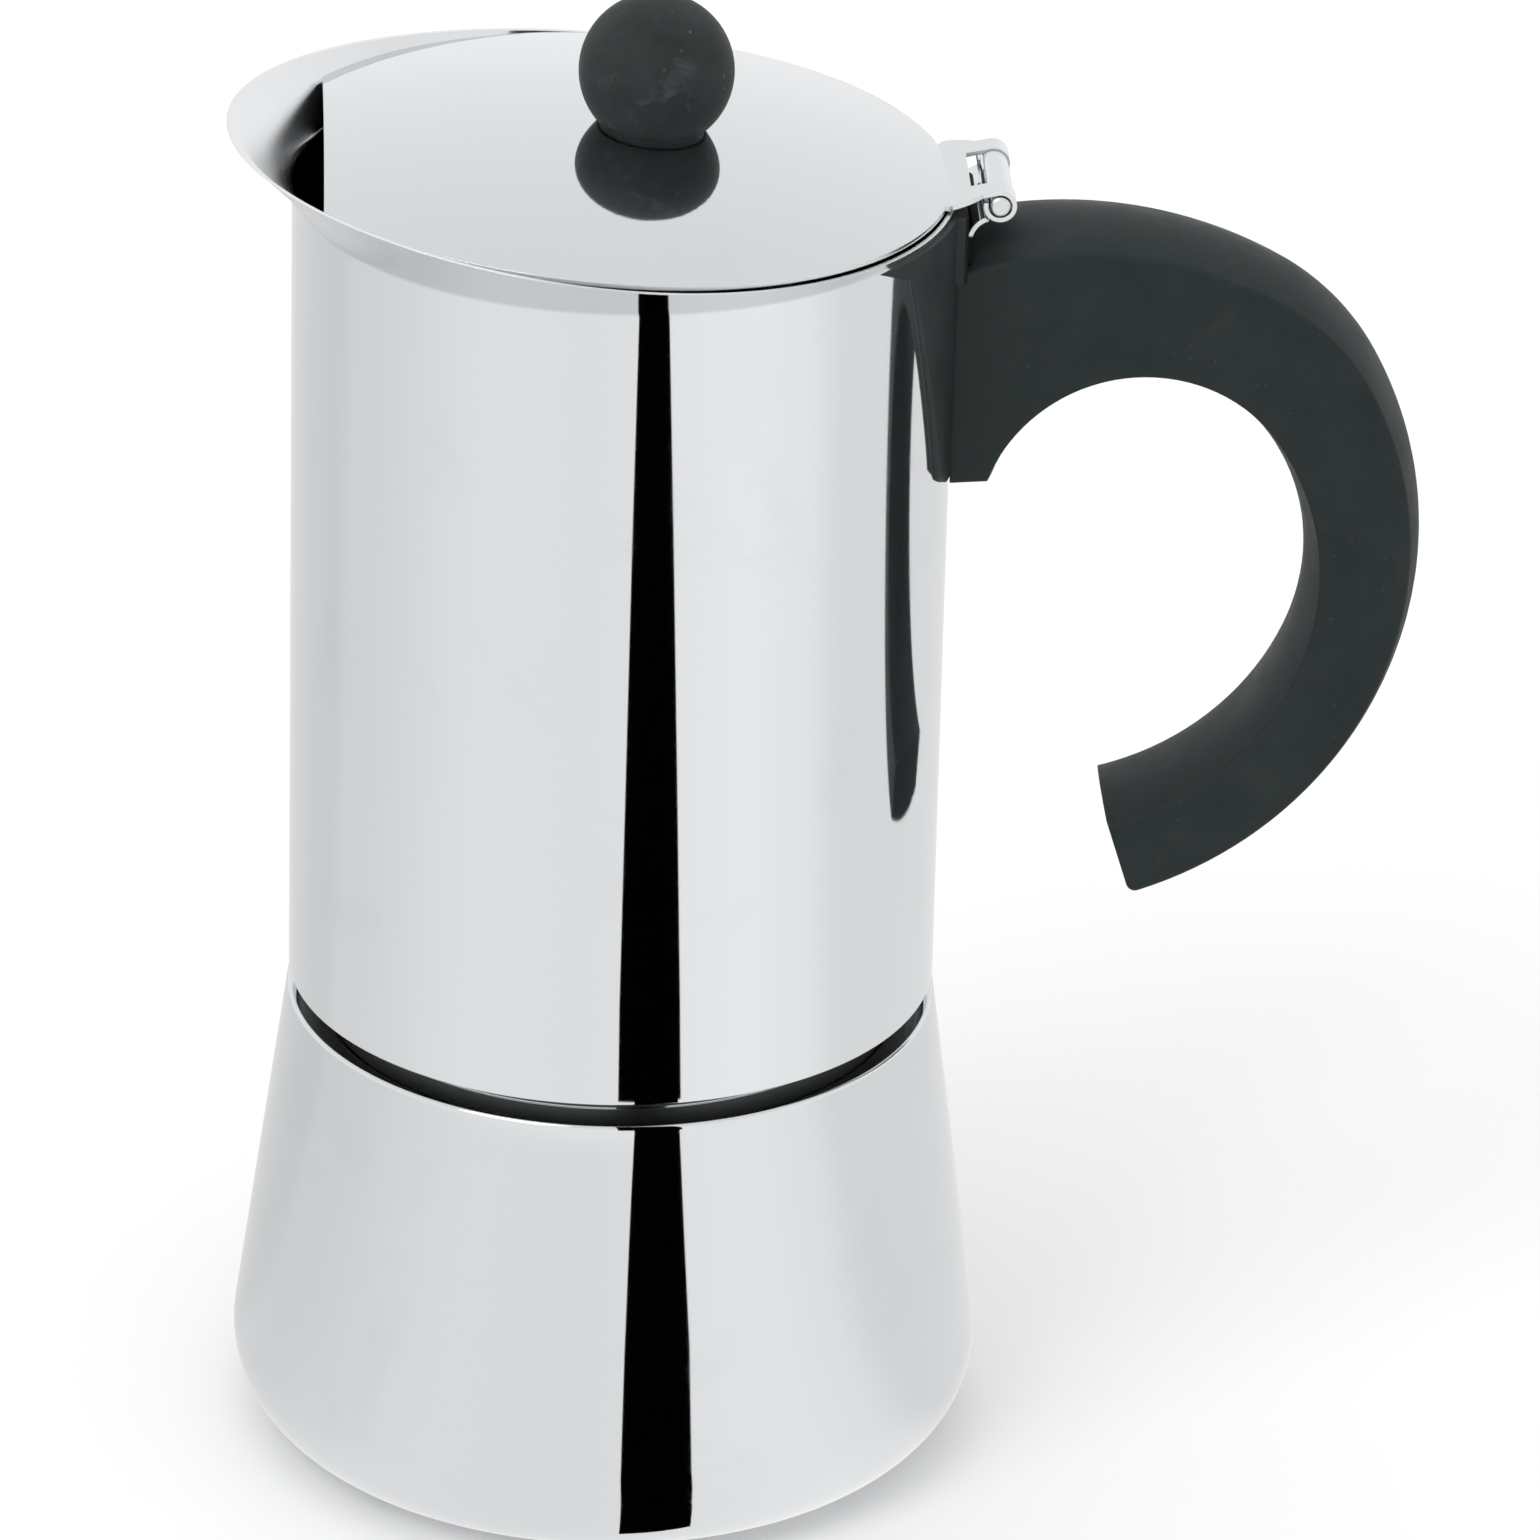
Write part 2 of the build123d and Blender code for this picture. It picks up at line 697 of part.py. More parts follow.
with BuildPart() as handle_screw:
    with BuildSketch(Plane.XY.offset(handle_screw_seat - handle_screw_head_height)):
        with Locations((handle_screw_x, 0)):
            Circle(handle_screw_head_radius)
    extrude(amount=handle_screw_head_height)
    with BuildSketch(Plane.XY.offset(handle_screw_seat)):
        with Locations((handle_screw_x, 0)):
            Circle(handle_screw_radius)
    extrude(amount=handle_screw_top - handle_screw_seat)
save(handle_screw, "handle_screw")

# Hinge leaf: strip up the seam behind the handle, bent out under the pin and rolled round it
leaf_middle = saddle_face + hinge_sheet / 2
leaf_under = pin_z - leaf_curl_radius
leaf_bend = (leaf_middle + leaf_bend_radius, leaf_under - leaf_bend_radius)

with BuildPart() as hinge_leaf:
    with BuildSketch(Plane.XZ):
        with BuildLine():
            Line((leaf_middle, leaf_bottom), (leaf_middle, leaf_bend[1]))
            CenterArc(leaf_bend, leaf_bend_radius, 180, -90)
        trace(line_width=hinge_sheet)
    extrude(amount=knuckle_half_width, both=True)
    with BuildSketch(Plane.XZ):
        with Locations((pin_x, pin_z)):
            Circle(knuckle_radius + knuckle_gap)
    extrude(amount=knuckle_half_width, both=True, mode=Mode.SUBTRACT)
    with BuildSketch(Plane.XZ):
        with BuildLine():
            CenterArc(leaf_bend, leaf_bend_radius, 180, -90)
            Line((leaf_bend[0], leaf_under), (pin_x, leaf_under))
            CenterArc((pin_x, pin_z), leaf_curl_radius, -90, leaf_curl_sweep)
        trace(line_width=hinge_sheet)
    extrude(amount=middle_knuckle_half_width, both=True)
    with BuildSketch(Plane.YZ.offset(saddle_face)):
        with Locations((0, tongue_height)):
            Rectangle(
                2 * (tongue_half_width + tongue_clearance), tongue_thickness + 2 * tongue_clearance
            )
    extrude(amount=hinge_sheet, mode=Mode.SUBTRACT)
save(hinge_leaf, "hinge_leaf")

with BuildPart() as hinge_pin:
    with BuildSketch(Plane.XZ):
        with Locations((pin_x, pin_z)):
            Circle(pin_radius)
    extrude(amount=knuckle_half_width + pin_proud, both=True)
save(hinge_pin, "hinge_pin")

# Lid: domed sheet on a tilted plane, with a tab bent up and rolled into two knuckles
lid_plane = Plane(
    origin=(0, 0, rim_height + lid_edge_lift),
    x_dir=(cos(radians(lid_tilt)), 0, -sin(radians(lid_tilt))),
    z_dir=(sin(radians(lid_tilt)), 0, cos(radians(lid_tilt))),
)
tab_side = sqrt(lid_radius**2 - tab_half_width**2)
tab_bend = tab_side + tab_bend_out
dome_centre = lid_plane.offset(lid_rise - lid_dome_radius)


def dome_height(out, inset=0):
    return sqrt((lid_dome_radius - inset) ** 2 - out**2) - lid_dome_radius + lid_rise


tab_start = lid_plane.from_local_coords(
    (tab_bend - hinge_sheet / 2, 0, dome_height(tab_bend) - lid_thickness / 2)
)
tab_run = Vector(pin_x - tab_start.X, pin_z - tab_start.Z)
tab_slope = degrees(atan2(tab_run.Y, tab_run.X) + asin(curl_radius / tab_run.length))

with BuildPart() as lid_tab:
    with BuildSketch(Plane.XZ):
        with BuildLine():
            curl_start = 90 + tab_slope
            Line((tab_start.X, tab_start.Z), polar((pin_x, pin_z), curl_radius, curl_start))
            CenterArc((pin_x, pin_z), curl_radius, curl_start, curl_end_angle - curl_start - 360)
        trace(line_width=hinge_sheet)
    extrude(amount=tab_half_width, both=True)
    with BuildSketch(Plane.XY.offset(pin_z - 2 * knuckle_radius)):
        with BuildLine():
            tab_neck = tab_bend + tab_flare_length
            tab_end = pin_x + 2 * knuckle_radius
            flare = RadiusArc(
                (tab_bend, tab_half_width), (tab_neck, knuckle_half_width), 2 * tab_flare_length
            )
            mirror(flare, about=Plane.XZ)
            Polyline(
                (tab_bend, tab_half_width),
                (vessel_radius / 2, tab_half_width),
                (vessel_radius / 2, -tab_half_width),
                (tab_bend, -tab_half_width),
            )
            Polyline(
                (tab_neck, knuckle_half_width),
                (tab_end, knuckle_half_width),
                (tab_end, -knuckle_half_width),
                (tab_neck, -knuckle_half_width),
            )
        make_face()
    extrude(amount=4 * knuckle_radius, mode=Mode.INTERSECT)
    with BuildSketch(Plane.XY.offset(pin_z - 2 * knuckle_radius)):
        with Locations((pin_x - knuckle_radius - tab_slot_margin, 0)):
            Rectangle(
                4 * knuckle_radius,
                2 * (middle_knuckle_half_width + knuckle_gap),
                align=(Align.MIN, Align.CENTER),
            )
    extrude(amount=4 * knuckle_radius, mode=Mode.SUBTRACT)

with BuildPart() as lid_plate:
    with Locations(dome_centre):
        Sphere(lid_dome_radius)
        Sphere(lid_dome_radius - lid_thickness, mode=Mode.SUBTRACT)
    with BuildSketch(lid_plane.offset(-lid_rise)):
        with BuildLine():
            CenterArc((0, 0), lid_radius, -90, 180)
            EllipticalCenterArc((0, 0), lid_length, lid_radius, start_angle=90, arc_size=180)
        make_face()
        Rectangle(tab_bend, 2 * tab_half_width, align=(Align.MIN, Align.CENTER))
        with Locations((-lid_front, 0)):
            Rectangle(lid_length, 2 * lid_length, align=(Align.MAX, Align.CENTER), mode=Mode.SUBTRACT)
    extrude(amount=3 * lid_rise, mode=Mode.INTERSECT)
    add(lid_tab.part)
    with BuildSketch(lid_plane.offset(-lid_rise)):
        for side in (-1, 1):
            with Locations((tab_side + relief_radius / 2, side * (tab_half_width + relief_radius / 2))):
                Circle(relief_radius)
        with Locations((knob_offset, 0)):
            Circle(knob_screw_radius + screw_clearance)
    extrude(amount=3 * lid_rise, mode=Mode.SUBTRACT)
save(lid_plate, "lid_plate")

# Knob, on a washer shaped to the dome, held by a screw from inside the lid
knob_seat = dome_height(knob_offset)
knob_base = knob_seat + knob_washer_thickness
knob_axis = (knob_offset, 0)

with BuildPart() as knob_washer:
    with BuildSketch(lid_plane.offset(knob_base)):
        with Locations(knob_axis):
            Circle(knob_washer_radius)
            Circle(knob_screw_radius + screw_clearance, mode=Mode.SUBTRACT)
    extrude(amount=-2 * knob_washer_thickness)
    with Locations(dome_centre):
        Sphere(lid_dome_radius, mode=Mode.SUBTRACT)
save(knob_washer, "knob_washer")

with BuildPart() as lid_knob:
    with Locations(lid_plane.from_local_coords((knob_offset, 0, knob_base + knob_base_drop))):
        Sphere(knob_radius)
    split(bisect_by=lid_plane.offset(knob_base), keep=Keep.TOP)
    with BuildSketch(lid_plane.offset(knob_base)):
        with Locations(knob_axis):
            Circle(knob_screw_radius)
    extrude(amount=knob_screw_depth, mode=Mode.SUBTRACT)
save(lid_knob, "lid_knob")

with BuildPart() as knob_screw:
    head_seat = dome_height(knob_offset + knob_screw_head_radius, lid_thickness)
    with BuildSketch(lid_plane.offset(head_seat)):
        with Locations(knob_axis):
            Circle(knob_screw_head_radius)
    extrude(amount=-knob_screw_head_height)
    with BuildSketch(lid_plane.offset(head_seat)):
        with Locations(knob_axis):
            Circle(knob_screw_radius)
    extrude(amount=knob_base + knob_screw_depth - head_seat)
save(knob_screw, "knob_screw")
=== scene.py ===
import bpy
import bmesh
from math import cos, sin, tan, pi, radians
from mathutils import Matrix, Vector


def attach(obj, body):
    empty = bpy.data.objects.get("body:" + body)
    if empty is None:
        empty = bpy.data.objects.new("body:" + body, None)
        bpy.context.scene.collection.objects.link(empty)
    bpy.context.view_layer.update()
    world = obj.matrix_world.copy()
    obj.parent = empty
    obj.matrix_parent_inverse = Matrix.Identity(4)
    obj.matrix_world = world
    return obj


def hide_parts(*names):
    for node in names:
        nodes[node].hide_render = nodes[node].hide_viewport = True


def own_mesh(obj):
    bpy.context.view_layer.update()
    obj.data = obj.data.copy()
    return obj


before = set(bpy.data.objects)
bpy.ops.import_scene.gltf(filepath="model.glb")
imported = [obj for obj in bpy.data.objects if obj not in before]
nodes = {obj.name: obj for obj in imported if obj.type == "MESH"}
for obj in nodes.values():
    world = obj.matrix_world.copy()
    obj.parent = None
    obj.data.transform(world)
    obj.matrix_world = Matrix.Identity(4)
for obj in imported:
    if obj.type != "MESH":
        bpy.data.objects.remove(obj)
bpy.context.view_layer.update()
scene = bpy.context.scene
scene.view_settings.view_transform = "Standard"
mm = 0.001
potRadius = 43.0  # of the upper vessel, in millimetres
closeEnough = 1e-3
mergeDistance = 1e-4

# camera, fitted to the photo's ellipses
cameraSetup = {
    "location": (-47.430, -1265.833, 703.541),
    "right": (0.99882425, -0.04262005, 0.02310102),
    "up": (-0.00232387, 0.43388255, 0.90096644),
    "forward": (0.04842237, 0.89996081, -0.43327337),
    "lens": 247.85,
    "sensor": 36.0,
}


def makeCamera(setup):
    data = bpy.data.cameras.new("photoCamera")
    data.sensor_width = setup["sensor"]
    data.lens = setup["lens"]
    data.clip_end = 20.0
    camera = bpy.data.objects.new("photoCamera", data)
    scene.collection.objects.link(camera)
    across, upward = Vector(setup["right"]), Vector(setup["up"])
    back = -Vector(setup["forward"])
    place = Vector(setup["location"]) * mm
    camera.matrix_world = Matrix((
        (across.x, upward.x, back.x, place.x),
        (across.y, upward.y, back.y, place.y),
        (across.z, upward.z, back.z, place.z),
        (0, 0, 0, 1),
    ))
    scene.camera = camera


makeCamera(cameraSetup)
print("camera placed")


# node helpers: a node with its plain values, then the kinds that are used most
def addNode(tree, kind, values=None, **settings):
    node = tree.nodes.new("ShaderNode" + kind)
    for name, value in settings.items():
        setattr(node, name, value)
    for socket, value in (values or {}).items():
        node.inputs[socket].default_value = value
    return node


def mathNode(tree, operation, first, second=None):
    node = addNode(tree, "Math", operation=operation)
    for socket, value in zip(node.inputs, (first, second)):
        if isinstance(value, (int, float)):
            socket.default_value = value
        elif value is not None:
            tree.links.new(value, socket)
    return node.outputs[0]


def rangeNode(tree, value, fromRange, toRange):
    node = addNode(tree, "MapRange", {
        "From Min": fromRange[0], "From Max": fromRange[1],
        "To Min": toRange[0], "To Max": toRange[1],
    })
    tree.links.new(value, node.inputs["Value"])
    return node.outputs["Result"]


def colourMix(tree, mask, first, second):
    node = addNode(tree, "Mix", data_type="RGBA")
    node.inputs["A"].default_value = (*first, 1)
    node.inputs["B"].default_value = (*second, 1)
    tree.links.new(mask, node.inputs["Factor"])
    return node.outputs["Result"]


def overlay(tree, mask, colour, value):
    node = addNode(tree, "Mix", data_type="RGBA" if isinstance(value, tuple) else "FLOAT")
    tree.links.new(mask, node.inputs["Factor"])
    tree.links.new(colour, node.inputs["A"])
    node.inputs["B"].default_value = (*value, 1) if isinstance(value, tuple) else value
    return node.outputs["Result"]


def newMaterial(name):
    material = bpy.data.materials.new(name)
    material.use_nodes = True
    return material, material.node_tree, material.node_tree.nodes["Principled BSDF"]


# room: white world, pale floor; what the steel mirrors has soft tones by bearing
room = {
    "ambient": 0.80,
    "seen": 1.0,
    "zenithTone": 0.84,
    "zenithRise": (0.15, 0.9),
    "floorSize": 6.0,
    "floorColour": (0.92, 0.92, 0.92, 1),
    "floorRoughness": 0.7,
    "cameraBearing": -92.1,
    # bearing right of the camera in degrees, brightness of the mirrored floor there
    "tones": ((-180, 0.82), (-112, 0.74), (-100, 0.80), (-40, 0.93), (-10, 0.92), (45, 1.02),
              (62, 0.98), (82, 0.86), (180, 0.82)),
    "fade": (0.55, 0.95),  # between these distances the mirrored floor turns into the white room
}


def directRays(tree):
    path = addNode(tree, "LightPath")
    direct = mathNode(tree, "MAXIMUM", path.outputs["Is Camera Ray"], path.outputs["Is Glossy Ray"])
    return path, mathNode(tree, "MAXIMUM", direct, path.outputs["Is Transmission Ray"])


def makeWorld(look):
    world = bpy.data.worlds.new("whiteRoom")
    world.use_nodes = True
    scene.world = world
    tree = world.node_tree
    background = tree.nodes["Background"]
    path, direct = directRays(tree)
    strength = rangeNode(tree, direct, (0, 1), (look["ambient"], look["seen"]))
    tree.links.new(strength, background.inputs["Strength"])
    ray = addNode(tree, "TexCoord")
    split = addNode(tree, "SeparateXYZ")
    tree.links.new(ray.outputs["Generated"], split.inputs[0])
    height = rangeNode(tree, split.outputs["Z"], look["zenithRise"], (0, 1))
    mirrored = mathNode(tree, "MULTIPLY", height, path.outputs["Is Glossy Ray"])
    zenith = look["zenithTone"]
    tone = colourMix(tree, mirrored, (1, 1, 1), (zenith, zenith, zenith))
    tree.links.new(tone, background.inputs["Color"])


def addStage(name, bm, material):
    mesh = bpy.data.meshes.new(name)
    bm.to_mesh(mesh)
    bm.free()
    mesh.materials.append(material)
    stageObject = bpy.data.objects.new(name, mesh)
    scene.collection.objects.link(stageObject)
    return stageObject


def makeFloor(look):
    material, tree, shader = newMaterial("paleFloor")
    shader.inputs["Base Color"].default_value = look["floorColour"]
    shader.inputs["Roughness"].default_value = look["floorRoughness"]
    place = addNode(tree, "TexCoord")
    turned = addNode(tree, "VectorRotate", rotation_type="Z_AXIS")
    turned.inputs["Angle"].default_value = radians(-look["cameraBearing"])
    tree.links.new(place.outputs["Object"], turned.inputs["Vector"])
    front = addNode(tree, "SeparateXYZ")
    tree.links.new(turned.outputs[0], front.inputs[0])
    bearing = mathNode(tree, "ARCTAN2", front.outputs["Y"], front.outputs["X"])
    share = rangeNode(tree, bearing, (-pi, pi), (0, 1))
    ramp = addNode(tree, "ValToRGB")
    ramp.color_ramp.interpolation = "EASE"
    stops = ramp.color_ramp.elements
    while len(stops) < len(look["tones"]):
        stops.new(0.5)
    for stop, (angle, tone) in zip(stops, look["tones"]):  # places first: they sort the stops
        stop.position = angle / 360 + 0.5
    for stop, (angle, tone) in zip(stops, look["tones"]):
        stop.color = (tone, tone, tone, 1)
    tree.links.new(share, ramp.inputs["Fac"])
    reach = addNode(tree, "VectorMath", operation="LENGTH")
    tree.links.new(place.outputs["Object"], reach.inputs[0])
    far = rangeNode(tree, reach.outputs["Value"], look["fade"], (0, 1))
    glow = addNode(tree, "Emission")
    tree.links.new(overlay(tree, far, ramp.outputs["Color"], (1, 1, 1)), glow.inputs["Color"])
    path = addNode(tree, "LightPath")
    either = addNode(tree, "MixShader")
    tree.links.new(path.outputs["Is Glossy Ray"], either.inputs["Fac"])
    tree.links.new(shader.outputs[0], either.inputs[1])
    tree.links.new(glow.outputs[0], either.inputs[2])
    tree.links.new(either.outputs[0], tree.nodes["Material Output"].inputs["Surface"])
    bm = bmesh.new()
    bmesh.ops.create_grid(bm, x_segments=1, y_segments=1, size=look["floorSize"] / 2)
    addStage("floor", bm, material)


makeWorld(room)
makeFloor(room)

# dark cards standing close to the pot, seen only as the stripes that they leave in the steel
flags = {
    "vesselStripe": (
        (1.0, -51, 177), (0.5, -51, 143), (0.15, -51, 109), (-0.2, -51, 77), (-0.1, -51, 62.7),
        (11.7, -51, 62), (11.1, -51, 77), (9.6, -51, 109), (7.95, -51, 143), (6.2, -51, 177)),
    "boilerStripe": (
        (2.9, -51.3, 62.9), (2.1, -53.9, 44), (1.6, -55.8, 30), (1.2, -58.3, 12), (1.6, -60, 0.4),
        (16.0, -60, 0.4), (15.1, -59.2, 6), (14.4, -58.3, 12), (13.8, -55.8, 30),
        (12.7, -53.9, 44), (11.3, -51.3, 62.4)),
    "footStripe": (
        (1.6, -60, 0.4), (16.0, -60, 0.4), (14.5, -56, 0.4), (12.7, -51.5, 0.4),
        (11.5, -48, 0.4), (0.9, -48, 0.4)),
}
flagBlack = (0.001, 0.001, 0.001, 1)
# plain pairs of cards behind, one standing and one lying, so that the back mirrors something too
backFlags = {
    "backStripe": ((-6, -62, 0.4), (6, -62, 0.4), (6, -62, 177), (-6, -62, 177)),
    "backFootStripe": ((-6, -62, 0.4), (6, -62, 0.4), (6, -44, 0.4), (-6, -44, 0.4)),
}
backTurns = {"Right": 145, "Left": 215}  # degrees round the pot, clear of the valve


def makeFlag(name, outline, turn=0):
    material, tree, shader = newMaterial(name + "Card")
    turned = Matrix.Rotation(radians(turn), 3, "Z")
    shader.inputs["Base Color"].default_value = flagBlack
    shader.inputs["Roughness"].default_value = 1.0
    shader.inputs["Specular IOR Level"].default_value = 0.0
    bm = bmesh.new()
    bm.faces.new([bm.verts.new(turned @ Vector(corner) * mm) for corner in outline])
    card = addStage(name, bm, material)
    card.visible_camera = False
    card.visible_diffuse = False
    card.visible_shadow = False


for flagName, flagOutline in flags.items():
    makeFlag(flagName, flagOutline)
for flagName, flagOutline in backFlags.items():
    for sideName, turn in backTurns.items():
        makeFlag(flagName + sideName, flagOutline, turn)

lampTarget = Vector((0, 0, 0.1))
lamps = {
    "topBox": {"place": (0.1, 0.1, 1.7), "size": (2.4, 2.4), "power": 12, "mirrored": False},
    "leftBox": {"place": (-0.9, -1.0, 1.4), "size": (0.9, 0.9), "power": 8, "mirrored": True},
}


def addLamp(name, look):
    data = bpy.data.lights.new(name, "AREA")
    data.shape = "RECTANGLE"
    data.size, data.size_y = look["size"]
    data.energy = look["power"]
    lamp = bpy.data.objects.new(name, data)
    lamp.location = look["place"]
    aim = lampTarget - Vector(look["place"])
    lamp.rotation_euler = aim.to_track_quat("-Z", "Y").to_euler()
    lamp.visible_glossy = look["mirrored"]
    scene.collection.objects.link(lamp)


for lampName, lampLook in lamps.items():
    addLamp(lampName, lampLook)
print("room lit")


# shared surface effects
def newGroup(name, inputs, outputs):
    group = bpy.data.node_groups.new(name, "ShaderNodeTree")
    number, direction = "NodeSocketFloat", "NodeSocketVector"
    for label, value in inputs:
        kind = direction if isinstance(value, tuple) else number
        socket = group.interface.new_socket(name=label, in_out="INPUT", socket_type=kind)
        socket.default_value = value
    for label in outputs:
        kind = direction if label == "Normal" else number
        group.interface.new_socket(name=label, in_out="OUTPUT", socket_type=kind)
    return group, group.nodes.new("NodeGroupInput"), group.nodes.new("NodeGroupOutput")


def millimetres(tree):
    place = addNode(tree, "TexCoord")
    scaled = addNode(tree, "VectorMath", operation="SCALE")
    scaled.inputs["Scale"].default_value = 1 / mm
    tree.links.new(place.outputs["Object"], scaled.inputs[0])
    return scaled.outputs[0]


# fine lines that run round the pot's axis, as polishing on a lathe leaves them
def makeSpunLines():
    group, given, result = newGroup(
        "spunLines", (("Pitch", 0.25), ("Streak", 30.0), ("Softness", 0.2)), ("Lines",))
    place = millimetres(group)
    split = addNode(group, "SeparateXYZ")
    group.links.new(place, split.inputs[0])
    flat = addNode(group, "VectorMath", {1: (1, 1, 0)}, operation="MULTIPLY")
    group.links.new(place, flat.inputs[0])
    radius = addNode(group, "VectorMath", operation="LENGTH")
    group.links.new(flat.outputs[0], radius.inputs[0])
    compass = addNode(group, "VectorMath", operation="NORMALIZE")
    group.links.new(flat.outputs[0], compass.inputs[0])
    along = mathNode(group, "DIVIDE", potRadius, given.outputs["Streak"])
    streak = addNode(group, "VectorMath", operation="SCALE")
    group.links.new(compass.outputs[0], streak.inputs[0])
    group.links.new(along, streak.inputs["Scale"])
    heights = addNode(group, "CombineXYZ")
    rows = mathNode(group, "DIVIDE", split.outputs["Z"], given.outputs["Pitch"])
    group.links.new(rows, heights.inputs["Z"])
    point = addNode(group, "VectorMath", operation="ADD")
    group.links.new(streak.outputs[0], point.inputs[0])
    group.links.new(heights.outputs[0], point.inputs[1])
    noise = addNode(group, "TexNoise", {"Scale": 1.0, "Detail": 2.0, "Roughness": 0.6},
                    noise_dimensions="4D")
    group.links.new(point.outputs[0], noise.inputs["Vector"])
    rings = mathNode(group, "DIVIDE", radius.outputs["Value"], given.outputs["Pitch"])
    group.links.new(rings, noise.inputs["W"])
    low = mathNode(group, "SUBTRACT", 0.5, given.outputs["Softness"])
    high = mathNode(group, "ADD", 0.5, given.outputs["Softness"])
    spread = addNode(group, "MapRange")
    group.links.new(noise.outputs["Fac"], spread.inputs["Value"])
    group.links.new(low, spread.inputs["From Min"])
    group.links.new(high, spread.inputs["From Max"])
    group.links.new(spread.outputs["Result"], result.inputs["Lines"])
    return group


# faint finger marks and dried drops: soft blotches at a chosen size
def makeHandMarks():
    group, given, result = newGroup("handMarks", (("Size", 18.0), ("Amount", 0.5)), ("Marks",))
    place = millimetres(group)
    scale = mathNode(group, "DIVIDE", 1.0, given.outputs["Size"])
    noise = addNode(group, "TexNoise", {"Detail": 4.0, "Roughness": 0.55, "Distortion": 0.6})
    group.links.new(place, noise.inputs["Vector"])
    group.links.new(scale, noise.inputs["Scale"])
    spare = mathNode(group, "MULTIPLY", given.outputs["Amount"], 0.4)
    low = mathNode(group, "SUBTRACT", 0.75, spare)
    spread = addNode(group, "MapRange", {"From Max": 0.8}, interpolation_type="SMOOTHSTEP")
    group.links.new(noise.outputs["Fac"], spread.inputs["Value"])
    group.links.new(low, spread.inputs["From Min"])
    group.links.new(spread.outputs["Result"], result.inputs["Marks"])
    return group


# stipple of a moulding tool, with a few specks of dust
def makeMouldStipple():
    group, given, result = newGroup(
        "mouldStipple", (("Grain", 0.28),), ("Height", "Specks", "Shade"))
    place = millimetres(group)
    scale = mathNode(group, "DIVIDE", 1.0, given.outputs["Grain"])
    noise = addNode(group, "TexNoise", {"Detail": 2.0, "Roughness": 0.5})
    group.links.new(place, noise.inputs["Vector"])
    group.links.new(scale, noise.inputs["Scale"])
    group.links.new(noise.outputs["Fac"], result.inputs["Height"])
    cells = addNode(group, "TexVoronoi", {"Scale": 0.9, "Randomness": 1.0})
    group.links.new(place, cells.inputs["Vector"])
    chosen = addNode(group, "SeparateColor")
    group.links.new(cells.outputs["Color"], chosen.inputs[0])
    near = rangeNode(group, cells.outputs["Distance"], (0.08, 0.24), (1, 0))
    rare = rangeNode(group, chosen.outputs[0], (0.92, 0.95), (0, 0.8))
    group.links.new(mathNode(group, "MULTIPLY", near, rare), result.inputs["Specks"])
    cloud = addNode(group, "TexNoise", {"Scale": 0.11, "Detail": 3.0, "Roughness": 0.6})
    group.links.new(place, cloud.inputs["Vector"])
    shade = rangeNode(group, cloud.outputs["Fac"], (0.35, 0.65), (0, 1))
    group.links.new(shade, result.inputs["Shade"])
    return group


# a normal that rounds sharp edges, and a painted edge highlight where that normal turns from the
# true one
edgeRoundingAndHighlight = {"samples": 4, "turn": (0.90, 0.995), "paintedHighlight": (0.7, 0)}


def makeSoftEdges(look):
    group, given, result = newGroup("softEdges", (("Radius", 0.2 * mm),), ("Normal", "EdgeHighlight"))
    bevel = addNode(group, "Bevel", samples=look["samples"])
    group.links.new(given.outputs["Radius"], bevel.inputs["Radius"])
    group.links.new(bevel.outputs[0], result.inputs["Normal"])
    corner = addNode(group, "VectorMath", operation="DOT_PRODUCT")
    group.links.new(bevel.outputs[0], corner.inputs[0])
    group.links.new(addNode(group, "NewGeometry").outputs["Normal"], corner.inputs[1])
    # painted highlight: how much an edge is lightened, by the turn of the rounded normal from the
    # true one
    paintedHighlight = rangeNode(group, corner.outputs["Value"], look["turn"], look["paintedHighlight"])
    group.links.new(paintedHighlight, result.inputs["EdgeHighlight"])
    return group


# sheared sheet edges: faces that look along one axis, either way, above a height
maskEdge = 0.3


def makeShearedEdges():
    group, given, result = newGroup(
        "shearedEdges", (("From", 176.0), ("Facing", (0, 0, 1))), ("Mask",))
    split = addNode(group, "SeparateXYZ")
    group.links.new(millimetres(group), split.inputs[0])
    rise = mathNode(group, "SUBTRACT", split.outputs["Z"], given.outputs["From"])
    above = rangeNode(group, rise, (-maskEdge, maskEdge), (0, 1))
    facing = addNode(group, "VectorMath", operation="DOT_PRODUCT")
    group.links.new(addNode(group, "TexCoord").outputs["Normal"], facing.inputs[0])
    group.links.new(given.outputs["Facing"], facing.inputs[1])
    turned = mathNode(group, "ABSOLUTE", facing.outputs["Value"])
    across = rangeNode(group, turned, (0.5, 0.8), (0, 1))
    group.links.new(mathNode(group, "MULTIPLY", above, across), result.inputs["Mask"])
    return group


spunLines = makeSpunLines()
handMarks = makeHandMarks()
mouldStipple = makeMouldStipple()
softEdges = makeSoftEdges(edgeRoundingAndHighlight)
shearedEdges = makeShearedEdges()


def placeGroup(tree, group, values):
    node = addNode(tree, "Group", node_tree=group)
    for label, value in values.items():
        node.inputs[label].default_value = value
    return node


def addBump(tree, shader, height, strength, distance, normal):
    bump = addNode(tree, "Bump", {"Strength": strength, "Distance": distance * mm})
    tree.links.new(height, bump.inputs["Height"])
    tree.links.new(normal, bump.inputs["Normal"])
    tree.links.new(bump.outputs[0], shader.inputs["Normal"])


print("surface effects ready")

